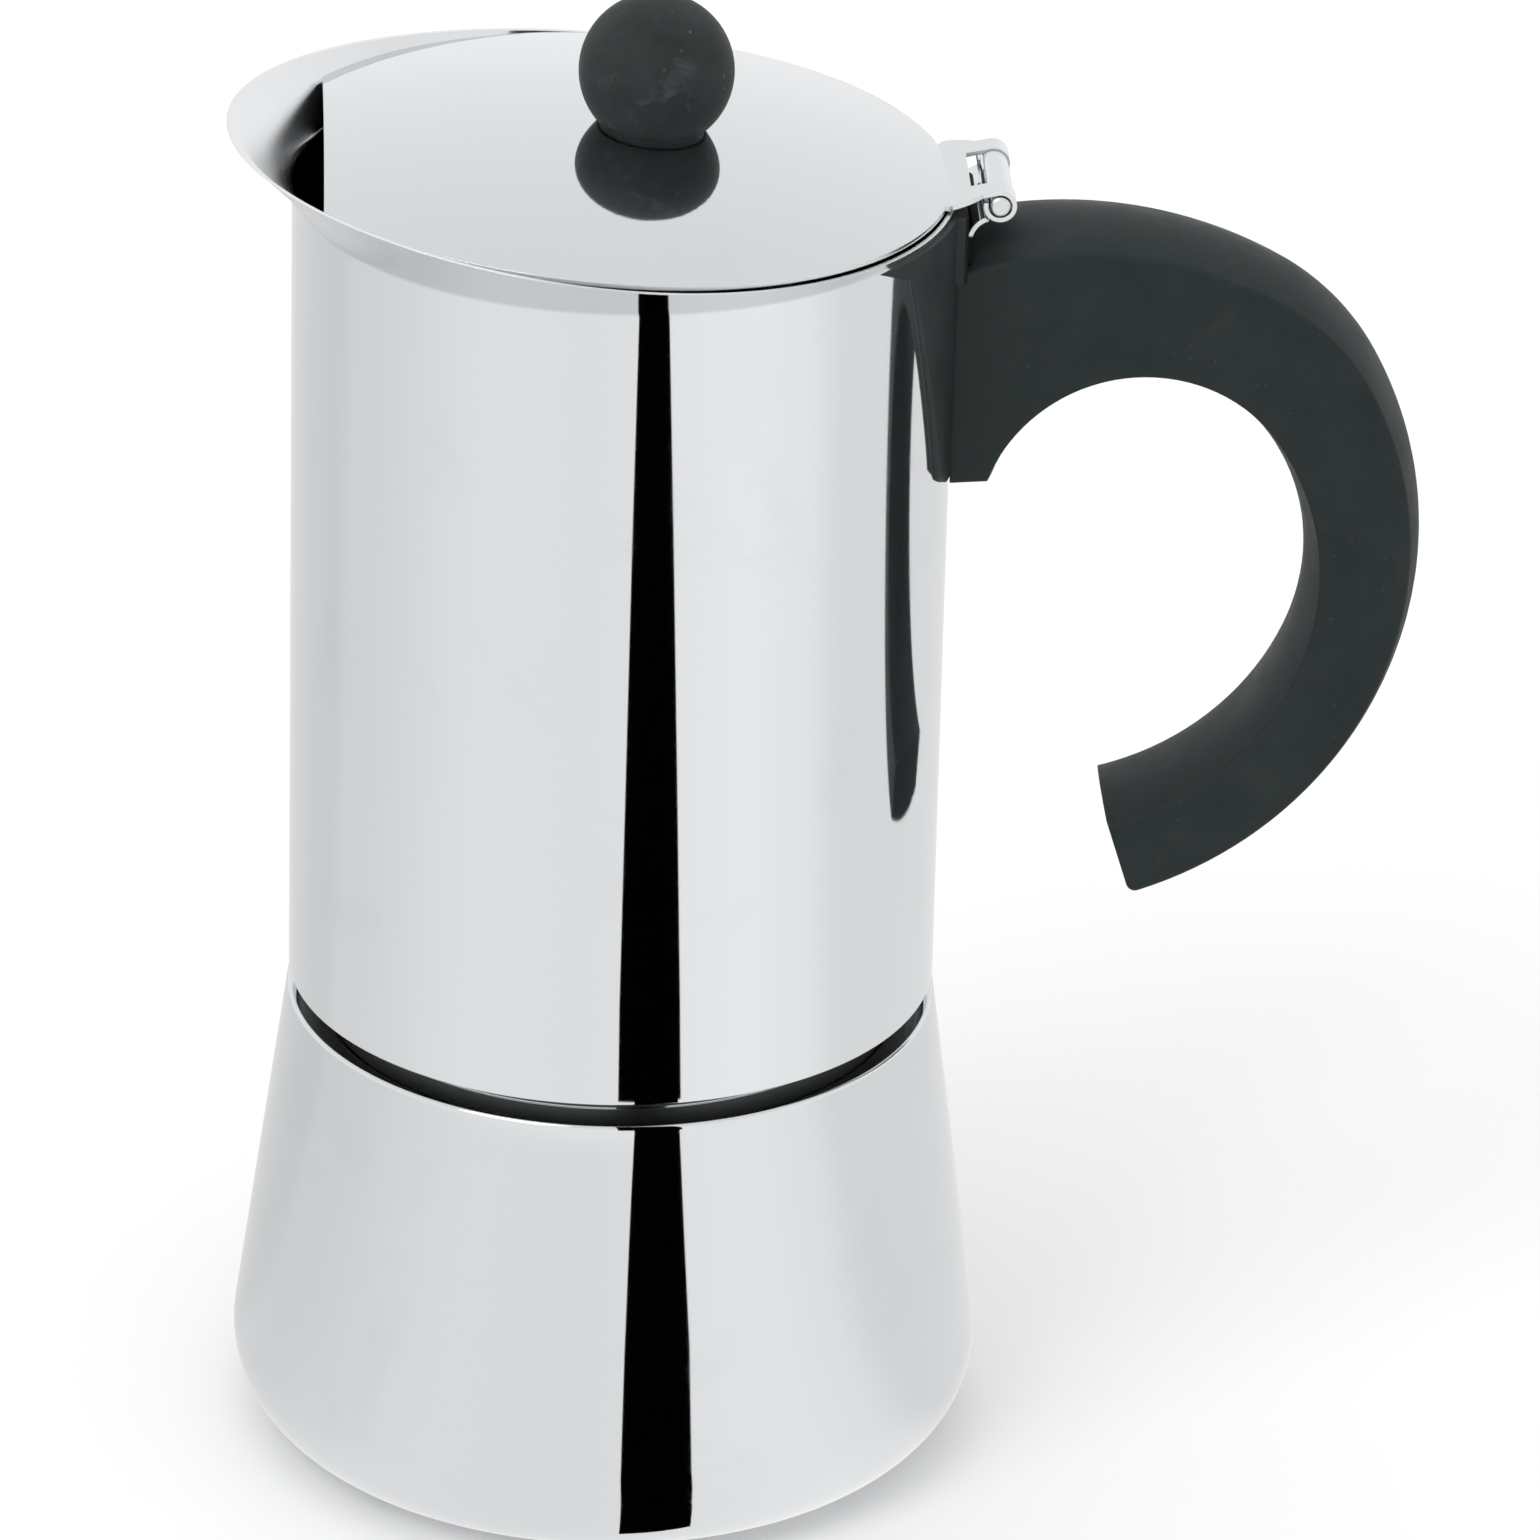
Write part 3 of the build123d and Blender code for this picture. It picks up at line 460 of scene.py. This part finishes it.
# steels: one recipe, with the polish and the lines of each piece
steelLooks = {
    "vesselSteel": {
        "clean": (0.770, 0.785, 0.800), "marked": (0.740, 0.755, 0.770),
        "polish": (0.035, 0.075), "marksDull": 0.05, "pitch": 0.22, "streak": 26.0,
        "lineHeight": 0.02, "lineStrength": 0.05, "edge": 0.16,
        "flareFrom": 178.1, "flareShadeColour": (0.585, 0.610, 0.625),
        "cut": {"From": 176.0, "Facing": (0, 0, 1)},
        "cutHighlightColour": (0.88, 0.89, 0.90), "cutRoughness": 0.45,
    },
    "boilerSteel": {
        "clean": (0.735, 0.750, 0.765), "marked": (0.705, 0.720, 0.735),
        "polish": (0.035, 0.075), "marksDull": 0.05, "pitch": 0.22, "streak": 26.0,
        "lineHeight": 0.02, "lineStrength": 0.05, "edge": 0.16,
        "satinFrom": 63.4, "satinColour": (0.560, 0.565, 0.565), "satinRoughness": 0.32,
        "gap": (63.4, 66.9), "gapColour": (0.13, 0.135, 0.135), "gapRoughness": 0.5,
    },
    "lidSteel": {
        "clean": (0.735, 0.755, 0.770), "marked": (0.710, 0.730, 0.745),
        "polish": (0.03, 0.06), "marksDull": 0.04, "pitch": 0.30, "streak": 40.0,
        "lineHeight": 0.02, "lineStrength": 0.03, "edge": 0.16,
        "cut": {"From": 175.2, "Facing": (0, 1, 0)},
        "cutHighlightColour": (0.80, 0.81, 0.82), "cutRoughness": 0.5,
        # below this height the leaf is painted near black: painted shade in the seam by the handle
        "seamShadeBelow": 174.8, "seamShadeColour": (0.014, 0.017, 0.017), "seamShadeRoughness": 0.6,
    },
    "innerSteel": {
        "clean": (0.600, 0.605, 0.605), "marked": (0.470, 0.465, 0.455),
        "polish": (0.22, 0.36), "marksDull": 0.12, "pitch": 0.45, "streak": 14.0,
        "lineHeight": 0.03, "lineStrength": 0.25, "edge": 0.12,
    },
    # the collar's steel is rough as an unpolished thread is; its near-black tint is painted shade
    # for the dark waist gap
    "threadShadeSteel": {
        "clean": (0.160, 0.165, 0.165), "marked": (0.110, 0.110, 0.105),
        "polish": (0.42, 0.55), "marksDull": 0.1, "pitch": 0.6, "streak": 20.0,
        "lineHeight": 0.05, "lineStrength": 0.3, "edge": 0.12,
    },
    "satinSteel": {
        "clean": (0.760, 0.770, 0.780), "marked": (0.690, 0.700, 0.705),
        "polish": (0.36, 0.48), "marksDull": 0.06, "pitch": 0.12, "streak": 2.0,
        "lineHeight": 0.01, "lineStrength": 0.2, "edge": 0.10,
    },
    "valveBrass": {
        "clean": (0.700, 0.480, 0.175), "marked": (0.430, 0.270, 0.095),
        "marks": {"Size": 2.6},
        "polish": (0.13, 0.22), "marksDull": 0.12, "pitch": 0.3, "streak": 3.0,
        "lineHeight": 0.02, "lineStrength": 0.12, "edge": 0.18,
    },
}


# a mask by place, in millimetres along one axis
def zoneMask(tree, axis, fromRange, toRange=(0, 1)):
    split = addNode(tree, "SeparateXYZ")
    tree.links.new(millimetres(tree), split.inputs[0])
    return rangeNode(tree, split.outputs[axis], fromRange, toRange)


# the boiler's neck and its inside are satin, and the neck in the gap under the vessel is painted
# dark: painted shade for the shadow in that gap
def neckMasks(tree, satinFrom, gap):
    above = zoneMask(tree, "Z", (satinFrom, satinFrom + 0.1))
    below = zoneMask(tree, "Z", (gap[1], gap[1] + 0.1), (1, 0))
    flat = addNode(tree, "VectorMath", {1: (1, 1, 0)}, operation="MULTIPLY")
    tree.links.new(millimetres(tree), flat.inputs[0])
    outward = addNode(tree, "VectorMath", operation="DOT_PRODUCT")
    tree.links.new(flat.outputs[0], outward.inputs[0])
    tree.links.new(addNode(tree, "TexCoord").outputs["Normal"], outward.inputs[1])
    inside = mathNode(tree, "LESS_THAN", outward.outputs["Value"], -2.0)  # faces the axis
    satin = mathNode(tree, "MAXIMUM", above, inside)
    shadedRing = mathNode(tree, "MULTIPLY", above, below)
    return satin, mathNode(tree, "MULTIPLY", shadedRing, mathNode(tree, "SUBTRACT", 1.0, inside))


# outside of the vessel's flared rim, which leans out over the wall; its steel is tinted darker
# there, a painted shade standing in for the dimmer reflection the flare mirrors
def flareMask(tree, height):
    above = zoneMask(tree, "Z", (height - maskEdge, height + maskEdge))
    facing = addNode(tree, "SeparateXYZ")
    tree.links.new(addNode(tree, "TexCoord").outputs["Normal"], facing.inputs[0])
    under = rangeNode(tree, facing.outputs["Z"], (-0.12, -0.02), (1, 0))
    return mathNode(tree, "MULTIPLY", above, under)


steelMarks = {"Size": 22.0, "Amount": 0.5}
seamShadeEdge = 0.2


def makeSteel(name, look):
    material, tree, shader = newMaterial(name)
    shader.inputs["Metallic"].default_value = 1.0
    lines = placeGroup(tree, spunLines, {"Pitch": look["pitch"], "Streak": look["streak"]})
    marks = placeGroup(tree, handMarks, {**steelMarks, **look.get("marks", {})})
    tint = colourMix(tree, marks.outputs["Marks"], look["clean"], look["marked"])
    dull = mathNode(tree, "MULTIPLY", marks.outputs["Marks"], look["marksDull"])
    sheen = rangeNode(tree, lines.outputs["Lines"], (0, 1), look["polish"])
    roughness = mathNode(tree, "ADD", sheen, dull)
    # the neck's satin finish, then the painted shade in the gap under the vessel
    if "gap" in look:
        satin, shadedRing = neckMasks(tree, look["satinFrom"], look["gap"])
        for mask, finish in ((satin, "satin"), (shadedRing, "gap")):
            tint = overlay(tree, mask, tint, look[finish + "Colour"])
            roughness = overlay(tree, mask, roughness, look[finish + "Roughness"])
    # painted shade: darker tint on the flare's outside
    if "flareFrom" in look:
        tint = overlay(tree, flareMask(tree, look["flareFrom"]), tint, look["flareShadeColour"])
    # sheared edges: rougher, as sheared steel is, and tinted lighter as a painted highlight
    if "cut" in look:
        mask = placeGroup(tree, shearedEdges, look["cut"]).outputs["Mask"]
        tint = overlay(tree, mask, tint, look["cutHighlightColour"])
        roughness = overlay(tree, mask, roughness, look["cutRoughness"])
    # painted shade: the leaf below this height is tinted near black, as if shadowed in the seam
    if "seamShadeBelow" in look:
        shadedSeam = look["seamShadeBelow"]
        mask = zoneMask(tree, "Z", (shadedSeam - seamShadeEdge, shadedSeam + seamShadeEdge), (1, 0))
        tint = overlay(tree, mask, tint, look["seamShadeColour"])
        roughness = overlay(tree, mask, roughness, look["seamShadeRoughness"])
    tree.links.new(tint, shader.inputs["Base Color"])
    tree.links.new(roughness, shader.inputs["Roughness"])
    edges = placeGroup(tree, softEdges, {"Radius": look["edge"] * mm})
    addBump(tree, shader, lines.outputs["Lines"], look["lineStrength"], look["lineHeight"],
            edges.outputs["Normal"])
    return material


steels = {name: makeSteel(name, look) for name, look in steelLooks.items()}

# plastics and rubber: one recipe too, with smudges (on the knob partly a painted sheen), painted
# edge highlights and dust
plasticLooks = {
    "handlePlastic": {
        "dark": (0.0135, 0.0197, 0.0197), "worn": (0.0190, 0.0252, 0.0252),
        "roughness": (0.48, 0.60), "specular": 0.17, "grain": 0.30, "strength": 0.12,
        "smudgeAndSheen": (0.0240, 0.0300, 0.0300), "smudgeAndSheenSize": 9.0, "dust": (0.036, 0.042, 0.042),
        "edge": 0.45, "edgeHighlightColour": (0.062, 0.070, 0.070),
    },
    "saddlePlastic": {
        "dark": (0.0205, 0.0267, 0.0267), "worn": (0.0275, 0.0337, 0.0337),
        "roughness": (0.46, 0.58), "specular": 0.20, "grain": 0.30, "strength": 0.12,
        "smudgeAndSheen": (0.0330, 0.0390, 0.0390), "smudgeAndSheenSize": 9.0, "dust": (0.040, 0.046, 0.046),
        "edge": 0.30, "edgeHighlightColour": (0.050, 0.057, 0.057),
        "seamShadeFrom": 43.55, "seamShadeColour": (0.0015, 0.0018, 0.0018),
    },
    "knobPlastic": {
        "dark": (0.0175, 0.0225, 0.0225), "worn": (0.0320, 0.0375, 0.0375),
        "roughness": (0.46, 0.60), "specular": 0.12, "grain": 0.34, "strength": 0.16,
        # the knob's pale smudges are partly real smudges and partly a painted sheen that lightens
        # its front
        "smudgeAndSheen": (0.0640, 0.0700, 0.0700), "smudgeAndSheenSize": 4.4, "dust": (0.120, 0.126, 0.126),
        "edge": 0.2, "edgeHighlightColour": (0.040, 0.046, 0.046),
    },
    "gasketRubber": {
        "dark": (0.520, 0.500, 0.450), "worn": (0.430, 0.390, 0.320),
        "roughness": (0.55, 0.70), "specular": 0.40, "grain": 0.40, "strength": 0.20,
        "smudgeAndSheen": (0.360, 0.300, 0.220), "smudgeAndSheenSize": 6.0, "dust": (0.300, 0.220, 0.150),
        "edge": 0.2, "edgeHighlightColour": (0.560, 0.540, 0.500),
    },
}
smudgeAndSheenAmount = 0.5
grainHeight = 0.05


def makePlastic(name, look):
    material, tree, shader = newMaterial(name)
    shader.inputs["Specular IOR Level"].default_value = look["specular"]
    stipple = placeGroup(tree, mouldStipple, {"Grain": look["grain"]})
    tint = colourMix(tree, stipple.outputs["Shade"], look["dark"], look["worn"])
    # smudges, and on the knob also a painted sheen
    smudgeAndSheenMarks = placeGroup(tree, handMarks, {"Size": look["smudgeAndSheenSize"], "Amount": smudgeAndSheenAmount})
    withSmudgeAndSheen = overlay(tree, smudgeAndSheenMarks.outputs["Marks"], tint, look["smudgeAndSheen"])
    edges = placeGroup(tree, softEdges, {"Radius": look["edge"] * mm})
    # painted highlight: edges lightened towards the edge highlight colour
    edgeHighlighted = overlay(tree, edges.outputs["EdgeHighlight"], withSmudgeAndSheen, look["edgeHighlightColour"])
    dusty = overlay(tree, stipple.outputs["Specks"], edgeHighlighted, look["dust"])
    # painted shade: a near-black strip on the saddle's face along the seam with the handle
    if "seamShadeFrom" in look:
        shadedSeam = zoneMask(tree, "X", (look["seamShadeFrom"] - 0.1, look["seamShadeFrom"]))
        dusty = overlay(tree, shadedSeam, dusty, look["seamShadeColour"])
    tree.links.new(dusty, shader.inputs["Base Color"])
    roughness = rangeNode(tree, stipple.outputs["Shade"], (0, 1), look["roughness"])
    tree.links.new(roughness, shader.inputs["Roughness"])
    addBump(tree, shader, stipple.outputs["Height"], look["strength"], grainHeight,
            edges.outputs["Normal"])
    return material


plastics = {name: makePlastic(name, look) for name, look in plasticLooks.items()}


def dress(material, *names):
    for name in names:
        nodes[name].data.materials.clear()
        nodes[name].data.materials.append(material)


dress(steels["innerSteel"], *nodes)
dress(steels["lidSteel"], "lid_plate", "hinge_leaf")
# collar: near-black, painted shade for the waist gap
dress(steels["threadShadeSteel"], "threaded_collar")
dress(steels["valveBrass"], "valve_body", "valve_washer", "valve_nut", "valve_pin",
      "valve_retainer")
dress(plastics["gasketRubber"], "gasket")
dress(plastics["handlePlastic"], "handle")
dress(plastics["saddlePlastic"], "handle_saddle")
dress(plastics["knobPlastic"], "lid_knob", "knob_washer")
print("finishes on")


# pieces: drawn in millimetres, then brought to metres
sharpEdge = radians(40)


def addPiece(name, bm, material, body, slotName, *replaced):
    bmesh.ops.remove_doubles(bm, verts=bm.verts, dist=mergeDistance)
    bmesh.ops.recalc_face_normals(bm, faces=bm.faces)
    bmesh.ops.scale(bm, vec=(mm, mm, mm), verts=bm.verts)
    for face in bm.faces:
        face.smooth = True
    for edge in bm.edges:
        edge.smooth = len(edge.link_faces) == 2 and edge.calc_face_angle() < sharpEdge
    mesh = bpy.data.meshes.new(name)
    bm.to_mesh(mesh)
    bm.free()
    mesh.materials.append(material)
    piece = bpy.data.objects.new(name, mesh)
    scene.collection.objects.link(piece)
    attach(piece, body)
    if replaced:
        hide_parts(*replaced)
    return piece


def drawChain(bm, points, closed=False):
    corners = [bm.verts.new(point) for point in points]
    ends = corners[1:] + corners[:1] if closed else corners[1:]
    return corners + [bm.edges.new(pair) for pair in zip(corners, ends)]


def everyPart(bm):
    return list(bm.verts) + list(bm.edges)


def partsOf(geometry, kind):
    return [part for part in geometry if isinstance(part, kind)]


def spinChain(bm, chain, steps, axis=(0, 0, 1), turns=1, rise=0):
    return bmesh.ops.spin(
        bm, geom=chain, cent=(0, 0, 0), axis=axis, dvec=(0, 0, rise / steps),
        angle=turns * 2 * pi, steps=steps, use_merge=not rise)["geom_last"]


# a coil from the bmesh's first face, with its far end closed
def windCoil(bm, steps, turns, rise):
    last = spinChain(bm, everyPart(bm), steps, turns=turns, rise=rise)
    bmesh.ops.contextual_create(bm, geom=partsOf(last, bmesh.types.BMEdge))


# boiler's wall: one section with rounded corners, spun, and a hole for the safety valve
valveAxis = Vector((0, 0.990475, 0.137696))
valvePoint = Vector((0, 45.744, 45.0))  # where the axis meets the wall
boilerForm = {
    "base": 52.0,
    "shoulder": (43.2, 63.3),
    "neck": (38.0, 78.8),
    "wall": 1.0,
    "footRound": 12.0,
    "footSegments": 16,
    "shoulderRound": 0.6,
    "shoulderSegments": 5,
    "columns": 240,
    "finePart": (36.0, 54.0),  # heights between which the cone has closer rows
    "fineRows": 17,
    "holeRadius": 4.0,
    "holeMargin": 0.45,  # faces this far outside the hole are cut away too
}


def roundCorner(bm, point, radius, segments):
    corner = min(bm.verts, key=lambda vert: (vert.co - Vector(point)).length)
    near, far = [edge.other_vert(corner).co - corner.co for edge in corner.link_edges]
    setback = radius / tan(near.angle(far) / 2)
    bmesh.ops.bevel(bm, geom=[corner], offset=setback, offset_type="OFFSET", segments=segments,
                    profile=0.5, affect="VERTICES", material=-1)


def boilerSection(form, inset):
    radius, height = form["shoulder"]
    lean = (form["base"] - radius) / height
    base = form["base"] - inset * (1 + lean**2) ** 0.5
    heights = (inset, *form["finePart"], height - inset)
    cone = [(base - lean * z, 0, z) for z in heights]
    neck = form["neck"][0] - inset
    return [(0, 0, inset), *cone, (neck, 0, height - inset), (neck, 0, form["neck"][1])]


def valveDistance(point):
    return (point - valvePoint).cross(valveAxis).length


def makeBoiler(form):
    bm = bmesh.new()
    outside, inside = boilerSection(form, 0), boilerSection(form, form["wall"])
    drawChain(bm, outside + inside[::-1])
    ends = form["finePart"]
    fine = [edge for edge in bm.edges
            if all(min(abs(corner.co.z - z) for z in ends) < closeEnough for corner in edge.verts)]
    bmesh.ops.subdivide_edges(bm, edges=fine, cuts=form["fineRows"])
    for section, inset in ((outside, 0), (inside, form["wall"])):
        roundCorner(bm, section[1], form["footRound"] - inset, form["footSegments"])
        roundCorner(bm, section[4], form["shoulderRound"], form["shoulderSegments"])
    spinChain(bm, everyPart(bm), form["columns"])
    bmesh.ops.remove_doubles(bm, verts=bm.verts, dist=mergeDistance)
    reach = form["holeRadius"] + form["holeMargin"]
    centres = {face: face.calc_center_median() for face in bm.faces}
    cut = [face for face, centre in centres.items()
           if centre.y > 0 and valveDistance(centre) < reach]
    bmesh.ops.delete(bm, geom=cut, context="FACES")
    rims = [edge for edge in bm.edges if len(edge.link_faces) == 1]
    for corner in {corner for edge in rims for corner in edge.verts}:
        foot = valvePoint + valveAxis * (corner.co - valvePoint).dot(valveAxis)
        corner.co = foot + (corner.co - foot).normalized() * form["holeRadius"]
    bmesh.ops.bridge_loops(bm, edges=rims)
    addPiece("boilerWall", bm, steels["boilerSteel"], "boiler", "polished_steel", "boiler_shell")


makeBoiler(boilerForm)

# upper vessel's wall, with clean rings of faces so that it mirrors without kinks
vesselForm = {
    "radius": potRadius,
    "wall": 0.6,
    "bottom": 66.4,
    "flareFrom": 178.0,
    "flareHeight": 8.6,
    "rimFlare": 2.7,
    "lipReach": 8.4,
    "curve": 1.25,
    "rim": ((43.0, 178.4), (0.0, 181.5), (-51.4, 186.6)),  # x and height of the rim's arc
    "columns": 240,
    "straightRows": (0, 0.5, 55, 110.8, 111.3),  # above the bottom
    "flareRows": (0, 0.08, 0.18, 0.3, 0.45, 0.6, 0.75, 0.88, 1),  # shares of the way to the rim
    "rimPasses": 12,
}


def arcThrough(first, second, third):
    (ax, ay), (bx, by), (cx, cy) = first, second, third
    turn = 2 * (ax * (by - cy) + bx * (cy - ay) + cx * (ay - by))
    a, b, c = ax**2 + ay**2, bx**2 + by**2, cx**2 + cy**2
    across = (a * (by - cy) + b * (cy - ay) + c * (ay - by)) / turn
    up = (a * (cx - bx) + b * (ax - cx) + c * (bx - ax)) / turn
    return across, up, Vector((ax - across, ay - up)).length


def flarePoint(form, angle, share, inset):
    half = form["radius"] - inset
    swell = share ** form["curve"]
    reach = half + (form["lipReach"] * swell if cos(angle) < 0 else 0)
    side = half + form["rimFlare"] * swell
    height = form["flareFrom"] + share * form["flareHeight"]
    return Vector((reach * cos(angle), side * sin(angle), height))


def rimShare(form, angle, inset):
    across, up, radius = arcThrough(*form["rim"])
    share = 0.5
    for repeat in range(form["rimPasses"]):
        out = flarePoint(form, angle, share, inset).x
        rim = up - (radius**2 - (out - across) ** 2) ** 0.5
        share = (rim - form["flareFrom"]) / form["flareHeight"]
    return share


def makeVessel(form):
    outside = form["radius"]
    inside = outside - form["wall"]
    straight = [form["bottom"] + rise for rise in form["straightRows"]]
    flared = [form["flareFrom"] + share for share in form["flareRows"]]
    heights = straight + flared
    bm = bmesh.new()
    wall = [(outside, 0, z) for z in heights] + [(inside, 0, z) for z in reversed(heights)]
    spinChain(bm, drawChain(bm, wall, closed=True), form["columns"])
    bmesh.ops.remove_doubles(bm, verts=bm.verts, dist=mergeDistance)
    for corner in bm.verts:
        share = corner.co.z - form["flareFrom"]
        if share > -mergeDistance:
            inset = outside - corner.co.xy.length
            angle = -Vector((1, 0)).angle_signed(corner.co.xy)
            share = max(share, 0) * rimShare(form, angle, inset)
            corner.co = flarePoint(form, angle, share, inset)
    addPiece("vesselWall", bm, steels["vesselSteel"], "upper", "polished_steel", "vessel_shell")


makeVessel(vesselForm)

# hinge pin with chamfered ends, satin so that its ends stay light
pinForm = {"place": (48.0, 0, 178.9), "radius": 1.3, "half": 9.35, "chamfer": 0.25, "steps": 48}


def makePin(form):
    radius, half, chamfer = form["radius"], form["half"], form["chamfer"]
    bm = bmesh.new()
    outline = [(0, -half, 0), (radius - chamfer, -half, 0), (radius, chamfer - half, 0)]
    outline += [(x, -y, 0) for x, y, z in reversed(outline)]
    spinChain(bm, drawChain(bm, outline), form["steps"], axis=(0, 1, 0))
    bmesh.ops.translate(bm, vec=form["place"], verts=bm.verts)
    addPiece("hingePin", bm, steels["satinSteel"], "upper", "inner_steel", "hinge_pin")


makePin(pinForm)

# slotted screws, each drawn head down from the middle of its head's face
screwForms = {
    "knobScrew": {
        "place": (3.208, 0, 183.749), "tilt": 3.287, "head": (3.8, 2.0), "shank": (2.0, 12.3),
        "body": "lid", "replaces": "knob_screw",
    },
    "handleScrew": {
        "place": (49.7, 0, 147.9), "tilt": 0, "head": (3.6, 2.4), "shank": (2.0, 8.4),
        "body": "upper", "replaces": "handle_screw",
    },
}
screwCut = {
    "slotHalf": 0.45, "slotDepth": 0.9, "headRound": 0.8, "headSegments": 5, "tip": 0.5,
    "steps": 48,
}


def headFaces(bm):
    return [face for face in bm.faces if face.calc_center_median().z < closeEnough]


def makeScrew(name, form, cut):
    (headRadius, headHeight), (radius, length) = form["head"], form["shank"]
    bm = bmesh.new()
    tip = cut["tip"]
    outline = [(0, 0, 0), (headRadius, 0, 0), (headRadius, 0, headHeight), (radius, 0, headHeight),
               (radius, 0, length - tip), (radius - tip, 0, length), (0, 0, length)]
    drawChain(bm, outline)
    roundCorner(bm, outline[1], cut["headRound"], cut["headSegments"])
    spinChain(bm, everyPart(bm), cut["steps"])
    bmesh.ops.remove_doubles(bm, verts=bm.verts, dist=mergeDistance)
    for side in (-1, 1):
        flat = headFaces(bm)
        flat += {part for face in flat for part in (*face.edges, *face.verts)}
        edgePoint = (side * cut["slotHalf"], 0, 0)
        bmesh.ops.bisect_plane(bm, geom=flat, plane_co=edgePoint, plane_no=(1, 0, 0))
    slot = [face for face in headFaces(bm)
            if abs(face.calc_center_median().x) < cut["slotHalf"]]
    sunk = bmesh.ops.extrude_face_region(bm, geom=slot)["geom"]
    bmesh.ops.delete(bm, geom=slot, context="FACES")
    bmesh.ops.translate(bm, vec=(0, 0, cut["slotDepth"]), verts=partsOf(sunk, bmesh.types.BMVert))
    tilt = Matrix.Rotation(radians(form["tilt"]), 3, "Y")
    bmesh.ops.rotate(bm, matrix=tilt, verts=bm.verts)
    bmesh.ops.translate(bm, vec=form["place"], verts=bm.verts)
    addPiece(name, bm, steels["satinSteel"], form["body"], "inner_steel", form["replaces"])


for screwName, screwForm in screwForms.items():
    makeScrew(screwName, screwForm, screwCut)

# thread on the boiler's neck: one low ridge wound up it, clear of the collar
threadForm = {
    "radius": 37.9, "depth": 0.32, "half": 0.6, "from": 67.7, "pitch": 2.2, "turns": 4,
    "steps": 480,
}


def makeThread(form):
    radius, half = form["radius"], form["half"]
    bm = bmesh.new()
    ridge = [(radius, 0, -half), (radius + form["depth"], 0, 0), (radius, 0, half)]
    bm.faces.new(partsOf(drawChain(bm, ridge, closed=True), bmesh.types.BMVert))
    windCoil(bm, form["steps"], form["turns"], form["pitch"] * form["turns"])
    bmesh.ops.translate(bm, vec=(0, 0, form["from"]), verts=bm.verts)
    addPiece("neckThread", bm, steels["innerSteel"], "boiler", "polished_steel")


makeThread(threadForm)

# spring of the safety valve: round wire (the real one is pressed together when the pin is pulled)
springForm = {
    "retainer": -12.7, "length": 6.0, "coil": 1.9, "wire": 0.5, "turns": 4,
    "sides": 12, "steps": 160, "keep": 0.8,
}


def makeSpring(form):
    bm = bmesh.new()
    bmesh.ops.create_circle(bm, cap_ends=True, segments=form["sides"], radius=form["wire"] / 2)
    bmesh.ops.rotate(bm, matrix=Matrix.Rotation(pi / 2, 3, "X"), verts=bm.verts)
    bmesh.ops.translate(bm, vec=(form["coil"], 0, form["wire"] / 2), verts=bm.verts)
    windCoil(bm, form["steps"], form["turns"], form["length"] - form["wire"])
    across = Vector((1, 0, 0))
    turned = Matrix((across, valveAxis.cross(across), valveAxis)).transposed()
    bmesh.ops.rotate(bm, matrix=turned, verts=bm.verts)
    seat = valvePoint + valveAxis * form["retainer"]
    bmesh.ops.translate(bm, vec=seat, verts=bm.verts)
    spring = addPiece("valveSpring", bm, steels["satinSteel"], "boiler", "inner_steel",
                      "valve_spring")
    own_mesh(spring)


makeSpring(springForm)
print("pieces made")
